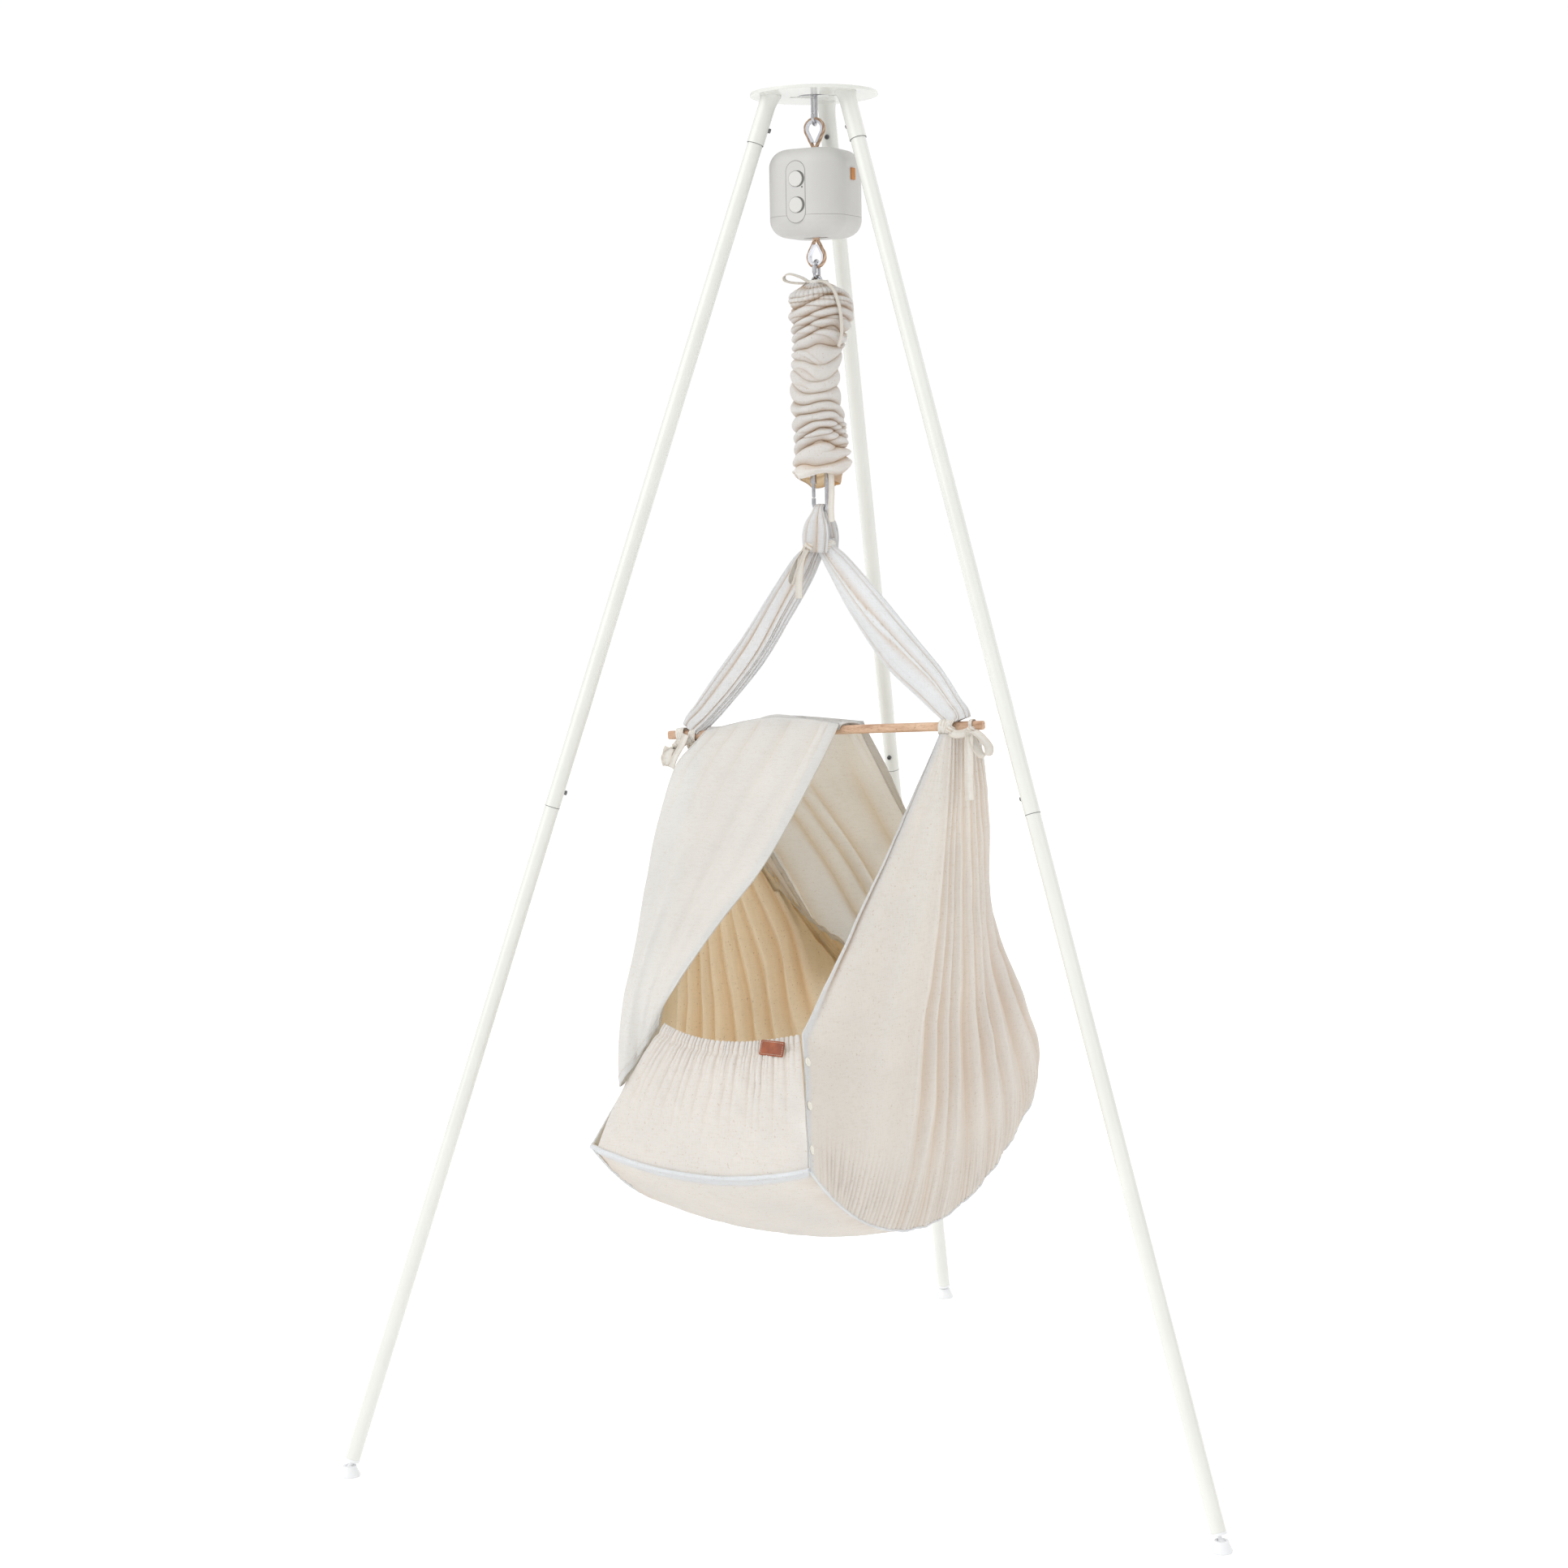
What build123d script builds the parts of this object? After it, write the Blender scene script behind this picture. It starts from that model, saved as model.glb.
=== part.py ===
from build123d import *
from math import sin, cos, tan, asin, radians, degrees, sqrt
import os

os.makedirs("parts", exist_ok=True)

# ---------------------------------------------------------------- dimensions
# millimetres, +Z up, origin on the floor at the middle of the object's box.
# The stand's vertical axis lies in front of that point, because the box runs
# from the cradle's foot end to the rear foot.

stand_height = 2000.0        # floor to the top of the plate
foot_radius = 739.0          # where a leg's centre line meets the floor
top_radius = 69.0            # where it is at top_level
top_level = 1985.0
axis_y = -164.75
leg_angles = {"left": 210.0, "right": 330.0, "rear": 90.0}

plate_radius = 93.0
plate_thickness = 5.0
plate_hole = 22.5
plate_under = stand_height - plate_thickness

socket_radius, socket_bore = 12.5, 11.35
upper_radius, upper_bore = 11.25, 9.75
lower_radius, lower_bore = 10.85, 9.35
spigot_radius, spigot_bore = 9.65, 8.15
mid_joint = 1026.0           # along the leg from the floor
top_joint = 2032.0
spigot_length = 70.0
socket_depth = 55.0
tube_start = 27.0
screw_above = 25.0

pad_radius, pad_height = 15.0, 15.5
ball_radius = 6.0
pad_pivot = 11.0             # height of the swivel's centre

bar_level = 2000.0           # centre of the hanger bar in the plate's hole
bar_radius = 4.0
bar_half = 36.0

clip_wire = 2.5              # top carabiner
clip_half = 9.5
clip_top = 1997.5            # centre of its upper bow
clip_low = 1964.0            # centre of its lower bow

rope_radius = 2.8            # rope loops on teardrop thimbles
eye_radius = 9.6
groove_in = 1.2
thimble_wall = 3.2
thimble_width = 8.0

motor_side, motor_corner = 122.0, 44.0
motor_top, motor_bottom = 1917.4, 1791.6
motor_seam = 1820.0
motor_edge = 26.0
wall = 2.6
button_travel = 1.6

swing_turn = -12.5           # everything that hangs is turned by this about Z

link_wire, link_half = 2.25, 7.0
coil_radius, coil_wire = 13.0, 1.6
coil_top, coil_bottom = 1712.0, 1486.0
hook_wire, hook_half = 3.0, 11.0
hook_top, hook_low = 1455.0, 1405.0

spreader_level = 1069.0
spreader_length = 530.0
spreader_tilt = 3.0
spreader_shift = -4.0
tie_place = {"left": -239.0, "right": 203.0}

cradle_half_width = 176.0
belly = 334.0                # lowest point of the sling
hem = 505.0                  # rim of the sling at its ends
cradle_half_length = 392.0
mattress_thickness = 35.0
cloth = 3.0

# ---------------------------------------------------------------- planes
u_dir = (cos(radians(swing_turn)), sin(radians(swing_turn)), 0)
v_dir = (-u_dir[1], u_dir[0], 0)
back_dir = (-v_dir[0], -v_dir[1], 0)
centre = (0, axis_y, 0)
hang = Plane(origin=centre, x_dir=u_dir, z_dir=(0, 0, 1))       # x across, y along
side = Plane(origin=centre, x_dir=v_dir, z_dir=u_dir)           # x along, y up
front = Plane(origin=centre, x_dir=u_dir, z_dir=back_dir)       # x across, y up
stand_front = Plane(origin=centre, x_dir=(1, 0, 0), z_dir=(0, -1, 0))
stand_side = Plane(origin=centre, x_dir=(0, 1, 0), z_dir=(1, 0, 0))

lean = degrees(asin((foot_radius - top_radius) / sqrt((foot_radius - top_radius) ** 2 + top_level ** 2)))


def leg_plane(angle, s):
    """Plane across a leg, s along its centre line from the floor."""
    ca, sa = cos(radians(angle)), sin(radians(angle))
    cl, sl = cos(radians(lean)), sin(radians(lean))
    r = foot_radius - s * sl
    return Plane(origin=(r * ca, axis_y + r * sa, s * cl),
                 x_dir=(ca * cl, sa * cl, sl), z_dir=(-ca * sl, -sa * sl, cl))


def screw_plane(angle, s):
    """Plane on the leg's centre line that looks inward."""
    p = leg_plane(angle, s)
    return Plane(origin=p.origin, x_dir=p.y_dir, z_dir=-p.x_dir)


# ================================================================ stand
with BuildPart() as top_plate:
    with BuildSketch(Plane.XY.offset(plate_under)):
        with Locations((0, axis_y)):
            Circle(plate_radius)
            Circle(plate_hole, mode=Mode.SUBTRACT)
    extrude(amount=plate_thickness)
    fillet(top_plate.edges().filter_by(GeomType.CIRCLE), 1.2)
    with BuildSketch(Plane.XY.offset(plate_under - 1)):
        with Locations((0, axis_y)):
            Rectangle(2 * bar_half + 0.2, 2 * bar_radius + 0.2)
    extrude(amount=plate_thickness + 2, mode=Mode.SUBTRACT)
top_plate.part.label = "top_plate"
export_step(top_plate.part, "parts/top_plate.step")

with BuildPart() as hanger_bar:
    with BuildSketch(Plane(origin=(-bar_half, axis_y, bar_level), x_dir=(0, 1, 0), z_dir=(1, 0, 0))):
        Circle(bar_radius)
    extrude(amount=2 * bar_half)
    chamfer(hanger_bar.edges().filter_by(GeomType.CIRCLE), 0.6)
hanger_bar.part.label = "hanger_bar"
export_step(hanger_bar.part, "parts/hanger_bar.step")

screw_solids = []
plug_solids = []
for leg, angle in leg_angles.items():
    with BuildPart() as socket:
        p = leg_plane(angle, top_joint)
        profile = Plane(origin=p.origin, x_dir=p.x_dir, z_dir=-p.y_dir)
        reach = plate_under / cos(radians(lean)) - top_joint
        with BuildSketch(profile):
            with BuildLine():
                Polyline((socket_bore, 0), (socket_radius, 0), (socket_radius, reach - 20))
                ThreePointArc((socket_radius, reach - 20), (socket_radius + 0.9, reach - 9),
                              (socket_radius + 3.6, reach + 1))
                Polyline((socket_radius + 3.6, reach + 1), (socket_radius + 3.6, reach + 8),
                         (socket_bore, reach + 8), (socket_bore, 0))
            make_face()
        revolve(axis=Axis(p.origin, p.z_dir))
        split(bisect_by=Plane.XY.offset(plate_under), keep=Keep.BOTTOM)
        with BuildSketch(screw_plane(angle, top_joint + screw_above)):
            Circle(2.15)
        extrude(amount=30, mode=Mode.SUBTRACT)
    socket.part.label = "socket_" + leg
    export_step(socket.part, "parts/socket_" + leg + ".step")

    with BuildPart() as upper_tube:
        with BuildSketch(leg_plane(angle, mid_joint)):
            Circle(upper_radius)
            Circle(upper_bore, mode=Mode.SUBTRACT)
        extrude(amount=top_joint - mid_joint + socket_depth)
        chamfer(upper_tube.edges().filter_by(GeomType.CIRCLE), 0.35)
        with BuildSketch(screw_plane(angle, top_joint + screw_above)):
            Circle(2.15)
        extrude(amount=30, mode=Mode.SUBTRACT)
        with BuildSketch(screw_plane(angle, mid_joint + screw_above)):
            Circle(2.15)
        extrude(amount=30, mode=Mode.SUBTRACT)
    upper_tube.part.label = "upper_tube_" + leg
    export_step(upper_tube.part, "parts/upper_tube_" + leg + ".step")

    with BuildPart() as lower_tube:
        with BuildSketch(leg_plane(angle, tube_start)):
            Circle(lower_radius)
            Circle(lower_bore, mode=Mode.SUBTRACT)
        extrude(amount=mid_joint - 12 - tube_start)
        with BuildSketch(leg_plane(angle, mid_joint - 12)):
            Circle(lower_radius)
            Circle(spigot_bore, mode=Mode.SUBTRACT)
        extrude(amount=11.6)
        with BuildSketch(leg_plane(angle, mid_joint - 0.4)):
            Circle(spigot_radius)
            Circle(spigot_bore, mode=Mode.SUBTRACT)
        extrude(amount=spigot_length)
        with BuildSketch(screw_plane(angle, mid_joint + screw_above)):
            Circle(2.15)
        extrude(amount=30, mode=Mode.SUBTRACT)
    lower_tube.part.label = "lower_tube_" + leg
    export_step(lower_tube.part, "parts/lower_tube_" + leg + ".step")

    # a plug fills the tube's end and carries the swivel's ball
    with BuildPart() as foot_plug:
        with BuildSketch(leg_plane(angle, tube_start - 4)):
            Circle(lower_radius)
        extrude(amount=3.9)
        with BuildSketch(leg_plane(angle, tube_start - 0.1)):
            Circle(lower_bore - 0.1)
        extrude(amount=22)
        q = leg_plane(angle, pad_pivot / cos(radians(lean)))
        with BuildSketch(q):
            Circle(3.0)
        extrude(amount=tube_start - 4 - pad_pivot / cos(radians(lean)))
        with BuildSketch(Plane(origin=q.origin, x_dir=q.x_dir, z_dir=-q.y_dir)):
            with BuildLine():
                CenterArc((0, 0), ball_radius, -90, 180)
                Line((0, ball_radius), (0, -ball_radius))
            make_face()
        revolve(axis=Axis(q.origin, q.z_dir))
    plug_solids.append(foot_plug.part)

    # swivel pad: a cone with a flat sole and a socket for the ball
    px, py = q.origin.X, q.origin.Y
    with BuildPart() as foot_pad:
        with BuildSketch(Plane(origin=(px, py, 0), x_dir=(1, 0, 0), z_dir=(0, -1, 0))):
            with BuildLine():
                Polyline((0, 0), (pad_radius - 0.8, 0), (pad_radius, 0.8), (pad_radius, 2.6))
                ThreePointArc((pad_radius, 2.6), (12.4, 8.0), (9.6, pad_height))
                Polyline((9.6, pad_height), (0, pad_height), (0, 0))
            make_face()
        revolve(axis=Axis((px, py, 0), (0, 0, 1)))
        with BuildSketch(Plane(origin=(px, py, pad_pivot), x_dir=(1, 0, 0), z_dir=(0, -1, 0))):
            with BuildLine():
                CenterArc((0, 0), ball_radius + 0.06, -90, 180)
                Line((0, ball_radius + 0.06), (0, -ball_radius - 0.06))
            make_face()
        revolve(axis=Axis((px, py, pad_pivot), (0, 0, 1)), mode=Mode.SUBTRACT)
        with BuildSketch(Plane(origin=(px, py, pad_pivot + 3.2), x_dir=(1, 0, 0), z_dir=(0, 0, 1))):
            Circle(5.05)
        extrude(amount=4, taper=-40, mode=Mode.SUBTRACT)
    foot_pad.part.label = "foot_pad_" + leg
    export_step(foot_pad.part, "parts/foot_pad_" + leg + ".step")

    for s, seat in ((top_joint + screw_above, socket_radius), (mid_joint + screw_above, upper_radius)):
        with BuildPart() as screw:
            w = screw_plane(angle, s)
            with BuildSketch(w.offset(seat + 0.05)):
                Circle(3.5)
            extrude(amount=3.4)
            fillet(screw.edges().filter_by(GeomType.CIRCLE).sort_by(Axis(w.origin, w.z_dir))[-1], 0.7)
            with BuildSketch(w.offset(seat + 3.6)):
                RegularPolygon(1.6, 6)
            extrude(amount=-2.0, mode=Mode.SUBTRACT)
            with BuildSketch(w.offset(6.2)):
                Circle(2.0)
            extrude(amount=seat + 0.05 - 6.2 + 0.3)
        screw_solids.append(screw.part)

with BuildPart() as foot_plugs:
    for solid in plug_solids:
        add(solid)
foot_plugs.part.label = "foot_plugs"
export_step(foot_plugs.part, "parts/foot_plugs.step")

with BuildPart() as joint_screws:
    for solid in screw_solids:
        add(solid)
joint_screws.part.label = "joint_screws"
export_step(joint_screws.part, "parts/joint_screws.step")

# ================================================================ top carabiner
gate_low, gate_high = clip_low + 5.0, clip_top - 4.5
with BuildPart() as top_carabiner:
    with BuildLine(stand_side) as path:
        a = Line((-clip_half, gate_high), (-clip_half, clip_top))
        b = CenterArc((0, clip_top), clip_half, 180, -180)
        c = Line((clip_half, clip_top), (clip_half, clip_low))
        d = CenterArc((0, clip_low), clip_half, 0, -180)
        e = Line((-clip_half, clip_low), (-clip_half, gate_low))
    with BuildSketch(Plane(origin=a @ 0, z_dir=a % 0)):
        Circle(clip_wire)
    sweep()
top_carabiner.part.label = "top_carabiner"
export_step(top_carabiner.part, "parts/top_carabiner.step")

with BuildPart() as top_gate:
    with BuildSketch(Plane(origin=(0, axis_y - clip_half, gate_low + 0.5), x_dir=(1, 0, 0), z_dir=(0, 0, 1))):
        Circle(2.2)
    extrude(amount=gate_high - gate_low - 0.9)
    fillet(top_gate.edges().filter_by(GeomType.CIRCLE), 1.2)
top_gate.part.label = "top_gate"
export_step(top_gate.part, "parts/top_gate.step")

# ================================================================ rope loops
# a teardrop: a circle of radius r about the eye and two tangents to a tip
rope_offset = groove_in + rope_radius + 0.1
upper_eye = clip_low - clip_half + clip_wire + 1.3 - eye_radius
lower_eye = 1764.0
loops = (("upper", stand_front, upper_eye, -1, 22.0), ("lower", front, lower_eye, 1, 20.0))
for where, plane, level, way, drop in loops:
    tip_angle = asin(eye_radius / drop)
    ct, st = cos(tip_angle), sin(tip_angle)
    neck = level + way * ((eye_radius + rope_offset) / st - 4.0)
    r = eye_radius + rope_offset
    with BuildPart() as rope_loop:
        with BuildLine(plane):
            n = (neck - level) * way
            x_neck = (r / st - n) * tan(tip_angle)
            a = Line((-x_neck, level + way * n), (-r * ct, level + way * r * st))
            b = ThreePointArc((-r * ct, level + way * r * st), (0, level - way * r), (r * ct, level + way * r * st))
            c = Line((r * ct, level + way * r * st), (x_neck, level + way * n))
        with BuildSketch(Plane(origin=a @ 0, z_dir=a % 0)):
            Circle(rope_radius)
        sweep()
        with BuildSketch(hang.offset(neck - way * 2.5)):
            Circle(5.3)
        extrude(amount=way * 14)
        with BuildSketch(hang.offset(neck + way * 10.5)):
            Circle(9.0)
        extrude(amount=way * 4)
    rope_loop.part.label = where + "_rope_loop"
    export_step(rope_loop.part, "parts/" + where + "_rope_loop.step")

    with BuildPart() as thimble:
        with BuildSketch(plane.offset(-thimble_width / 2)):
            for radius, mode in ((eye_radius + thimble_wall, Mode.ADD), (eye_radius, Mode.SUBTRACT)):
                with BuildLine():
                    Line((0, level + way * radius / st), (-radius * ct, level + way * radius * st))
                    ThreePointArc((-radius * ct, level + way * radius * st), (0, level - way * radius),
                                  (radius * ct, level + way * radius * st))
                    Line((radius * ct, level + way * radius * st), (0, level + way * radius / st))
                make_face(mode=mode)
        extrude(amount=thimble_width)
        with BuildLine(plane):
            a = Line((-x_neck, level + way * n), (-r * ct, level + way * r * st))
            b = ThreePointArc((-r * ct, level + way * r * st), (0, level - way * r), (r * ct, level + way * r * st))
            c = Line((r * ct, level + way * r * st), (x_neck, level + way * n))
        with BuildSketch(Plane(origin=a @ 0, z_dir=a % 0)):
            Circle(rope_radius + 0.1)
        sweep(mode=Mode.SUBTRACT)
        cut_level = level + way * (eye_radius / st - 2.0)
        with BuildSketch(hang.offset(cut_level)):
            Rectangle(40, 40)
        extrude(amount=way * 60, mode=Mode.SUBTRACT)
    thimble.part.label = where + "_thimble"
    export_step(thimble.part, "parts/" + where + "_thimble.step")

# ================================================================ drive unit
with BuildPart() as motor_body:
    with BuildSketch(hang.offset(motor_bottom)):
        RectangleRounded(motor_side, motor_side, motor_corner)
    extrude(amount=motor_top - motor_bottom)
    fillet(motor_body.faces().filter_by(GeomType.PLANE).sort_by(Axis.Z)[-1].edges(), motor_edge)
    fillet(motor_body.faces().filter_by(GeomType.PLANE).sort_by(Axis.Z)[0].edges(), motor_edge)
motor_solid = motor_body.part

with BuildPart() as motor_core:
    with BuildSketch(hang.offset(motor_bottom + wall)):
        RectangleRounded(motor_side - 2 * wall, motor_side - 2 * wall, motor_corner - wall)
    extrude(amount=motor_top - motor_bottom - 2 * wall)
    fillet(motor_core.faces().filter_by(GeomType.PLANE).sort_by(Axis.Z)[-1].edges(), motor_edge - wall)
    fillet(motor_core.faces().filter_by(GeomType.PLANE).sort_by(Axis.Z)[0].edges(), motor_edge - wall)
core_solid = motor_core.part

panel_width, panel_height = 31.0, 88.0
panel_level = 1853.0
with BuildPart() as motor_upper_shell:
    add(motor_solid)
    add(core_solid, mode=Mode.SUBTRACT)
    with BuildSketch(hang.offset(motor_bottom - 5)):
        Rectangle(200, 200)
    extrude(amount=motor_seam + 0.15 - motor_bottom + 5, mode=Mode.SUBTRACT)
    with BuildSketch(hang.offset(motor_top - 10)):
        Circle(6.2)
    extrude(amount=20, mode=Mode.SUBTRACT)
    with BuildSketch(front.offset(motor_side / 2 - 12)):
        with Locations((0, panel_level)):
            SlotOverall(panel_height, panel_width, rotation=90)
    extrude(amount=20, mode=Mode.SUBTRACT)
motor_upper_shell.part.label = "motor_upper_shell"
export_step(motor_upper_shell.part, "parts/motor_upper_shell.step")

with BuildPart() as motor_lower_shell:
    add(motor_solid)
    add(core_solid, mode=Mode.SUBTRACT)
    with BuildSketch(hang.offset(motor_seam - 0.15)):
        Rectangle(200, 200)
    extrude(amount=200, mode=Mode.SUBTRACT)
    with BuildSketch(hang.offset(motor_bottom - 1)):
        SlotOverall(40, 13)
    extrude(amount=10, mode=Mode.SUBTRACT)
    with BuildSketch(front.offset(motor_side / 2 - 12)):
        with Locations((0, panel_level)):
            SlotOverall(panel_height, panel_width, rotation=90)
    extrude(amount=20, mode=Mode.SUBTRACT)
motor_lower_shell.part.label = "motor_lower_shell"
export_step(motor_lower_shell.part, "parts/motor_lower_shell.step")

button_levels = (panel_level + 18.5, panel_level - 18.5)
face_v = motor_side / 2
with BuildPart() as control_panel:
    with BuildSketch(front.offset(face_v - 5.0)):
        with Locations((0, panel_level)):
            SlotOverall(panel_height - 0.5, panel_width - 0.5, rotation=90)
    extrude(amount=5.3)
    with BuildSketch(front.offset(face_v - 6)):
        with Locations((0, button_levels[0]), (0, button_levels[1])):
            Circle(11.3)
        with Locations((10.5, panel_level + 6.5)):
            Circle(1.3)
    extrude(amount=10, mode=Mode.SUBTRACT)
    fillet(control_panel.faces().sort_by(Axis(front.origin, front.z_dir))[-1].edges().filter_by(
        lambda e: e.length > 60), 0.5)
control_panel.part.label = "control_panel"
export_step(control_panel.part, "parts/control_panel.step")

for which, level in (("upper", button_levels[0]), ("lower", button_levels[1])):
    with BuildPart() as button:
        with BuildSketch(front.offset(face_v - 4.6)):
            with Locations((0, level)):
                Circle(11.0)
        extrude(amount=6.2)
        fillet(button.faces().sort_by(Axis(front.origin, front.z_dir))[-1].edges(), 1.4)
    button.part.label = "button_" + which
    export_step(button.part, "parts/button_" + which + ".step")

with BuildPart() as led_lens:
    with BuildSketch(front.offset(face_v - 4.8)):
        with Locations((10.5, panel_level + 6.5)):
            Circle(1.25)
    extrude(amount=5.2)
led_lens.part.label = "led_lens"
export_step(led_lens.part, "parts/led_lens.step")

with BuildPart() as leather_tag:
    with BuildSketch(side.offset(motor_side / 2 + 0.1)):
        with Locations((0, 1880.0)):
            RectangleRounded(12, 17, 1.0)
    extrude(amount=1.6)
leather_tag.part.label = "leather_tag"
export_step(leather_tag.part, "parts/leather_tag.step")

# inside: a steel frame carries the load from the upper loop to the drum's shaft
frame_top, frame_low = 1905.0, 1824.0
with BuildPart() as chassis:
    with BuildSketch(hang.offset(frame_top - 4)):
        Rectangle(64, 54)
        Circle(5.6, mode=Mode.SUBTRACT)
    extrude(amount=4)
    with BuildSketch(hang.offset(frame_low)):
        with Locations((0, 25.5), (0, -25.5)):
            Rectangle(64, 3)
    extrude(amount=frame_top - 4 - frame_low)
    with BuildSketch(front.offset(-30)):
        with Locations((0, 1850.0)):
            Circle(4.1)
    extrude(amount=60, mode=Mode.SUBTRACT)
    with BuildSketch(front.offset(-30)):
        with Locations((-20, 1884.0), (20, 1884.0)):
            Circle(1.6)
    extrude(amount=60, mode=Mode.SUBTRACT)
chassis.part.label = "chassis"
export_step(chassis.part, "parts/chassis.step")

drum_radius = 12.0
drum_x = drum_radius
with BuildPart() as winch_drum:
    with BuildSketch(front.offset(-33)):
        with Locations((0, 1850.0)):
            Circle(4.0)
    extrude(amount=60)
    with BuildSketch(front.offset(-8)):
        with Locations((0, 1850.0)):
            Circle(drum_radius - 0.6)
    extrude(amount=16)
    with BuildSketch(front.offset(-10)):
        with Locations((0, 1850.0)):
            Circle(17)
    extrude(amount=2)
    with BuildSketch(front.offset(8)):
        with Locations((0, 1850.0)):
            Circle(17)
    extrude(amount=2)
winch_drum.part.label = "winch_drum"
export_step(winch_drum.part, "parts/winch_drum.step")

with BuildPart() as gear_motor:
    with BuildSketch(front.offset(-46)):
        with Locations((0, 1856.0)):
            Circle(16)
    extrude(amount=12.5)
    with BuildSketch(front.offset(-33.5)):
        with Locations((0, 1856.0)):
            Circle(18)
    extrude(amount=6)
    with BuildSketch(front.offset(-34)):
        with Locations((0, 1850.0)):
            Circle(4.1)
    extrude(amount=20, mode=Mode.SUBTRACT)
gear_motor.part.label = "gear_motor"
export_step(gear_motor.part, "parts/gear_motor.step")

with BuildPart() as battery_pack:
    with BuildSketch(hang.offset(1826.0)):
        with Locations((-43, 0)):
            RectangleRounded(19, 64, 6)
    extrude(amount=62)
    fillet(battery_pack.edges().group_by(Axis.Z)[-1], 2)
battery_pack.part.label = "battery_pack"
export_step(battery_pack.part, "parts/battery_pack.step")

with BuildPart() as circuit_board:
    with BuildSketch(front.offset(face_v - 14)):
        with Locations((0, 1856.0)):
            Rectangle(56, 58)
    extrude(amount=1.6)
    with BuildSketch(front.offset(face_v - 12.4)):
        with Locations((0, button_levels[0]), (0, button_levels[1])):
            Rectangle(6, 6)
    extrude(amount=4.5)
circuit_board.part.label = "circuit_board"
export_step(circuit_board.part, "parts/circuit_board.step")

# the strap comes off the drum and carries the lower loop's stopper
lower_neck_top = lower_eye + (eye_radius + rope_offset) / (eye_radius / 20.0) - 4.0 + 14.5
with BuildPart() as lift_strap:
    with BuildSketch(hang.offset(lower_neck_top + 0.1)):
        with Locations((drum_radius, 0)):
            Rectangle(1.0, 12)
    extrude(amount=1850.0 - lower_neck_top - 0.1)
    with BuildSketch(hang.offset(lower_neck_top + 0.1)):
        with Locations((drum_radius / 2, 0)):
            Rectangle(drum_radius + 1.0, 12)
    extrude(amount=1.2)
lift_strap.part.label = "lift_strap"
export_step(lift_strap.part, "parts/lift_strap.step")

# ================================================================ spring
link_top = lower_eye - eye_radius + link_wire + 2.2          # wire centre of the upper bow
link_low = link_top - 27.0
with BuildPart() as spring_link:
    with BuildLine(side):
        a = Line((-link_half, link_low + link_half), (-link_half, link_top - link_half))
        b = CenterArc((0, link_top - link_half), link_half, 180, -180)
        c = Line((link_half, link_top - link_half), (link_half, link_low + link_half))
        d = CenterArc((0, link_low + link_half), link_half, 0, -180)
    with BuildSketch(Plane(origin=a @ 0, z_dir=a % 0)):
        Circle(link_wire)
    sweep()
    with BuildSketch(hang.offset((link_top + link_low) / 2 - 5)):
        with Locations((0, -link_half)):
            RegularPolygon(3.9, 6)
    extrude(amount=10)
spring_link.part.label = "spring_link"
export_step(spring_link.part, "parts/spring_link.step")

eye_wire = 2.0
top_ring = link_low + link_wire + eye_wire + 0.4 - 7.5       # centre of the top eye's ring
plug_radius = coil_radius - coil_wire - 0.3
with BuildPart() as spring_top_eye:
    with BuildSketch(hang.offset(top_ring)):
        with Locations((7.5, 0)):
            Circle(eye_wire)
    revolve(axis=Axis(front.origin + Vector(0, 0, top_ring), v_dir))
    with BuildSketch(hang.offset(coil_top)):
        Circle(2.6)
    extrude(amount=top_ring - 6.0 - coil_top)
    with BuildSketch(hang.offset(coil_top + 1)):
        Circle(coil_radius + coil_wire)
    extrude(amount=2.5)
    with BuildSketch(hang.offset(coil_top - 18)):
        Circle(plug_radius)
    extrude(amount=19.5)
spring_top_eye.part.label = "spring_top_eye"
export_step(spring_top_eye.part, "parts/spring_top_eye.step")

coil_turns = 24
with BuildPart() as suspension_spring:
    coil_height = coil_top - coil_bottom - 2 * coil_wire - 1
    with BuildLine():
        coil = Helix(pitch=coil_height / coil_turns, height=coil_height, radius=coil_radius,
                     center=(0, axis_y, coil_bottom + coil_wire + 0.5))
    with BuildSketch(Plane(origin=coil @ 0, z_dir=coil % 0)):
        Circle(coil_wire)
    sweep()
suspension_spring.part.label = "suspension_spring"
export_step(suspension_spring.part, "parts/suspension_spring.step")

bottom_ring = hook_top + hook_half - (hook_wire + eye_wire + 0.4) + 9.0
with BuildPart() as spring_bottom_eye:
    with BuildSketch(hang.offset(bottom_ring)):
        with Locations((0, 9.0)):
            Circle(eye_wire)
    revolve(axis=Axis(front.origin + Vector(0, 0, bottom_ring), u_dir))
    with BuildSketch(hang.offset(bottom_ring + 7.5)):
        Circle(2.6)
    extrude(amount=coil_bottom - bottom_ring - 7.5)
    with BuildSketch(hang.offset(coil_bottom - 3.5)):
        Circle(coil_radius + coil_wire)
    extrude(amount=2.5)
    with BuildSketch(hang.offset(coil_bottom - 1.5)):
        Circle(plug_radius)
    extrude(amount=19.5)
spring_bottom_eye.part.label = "spring_bottom_eye"
export_step(spring_bottom_eye.part, "parts/spring_bottom_eye.step")

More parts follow.
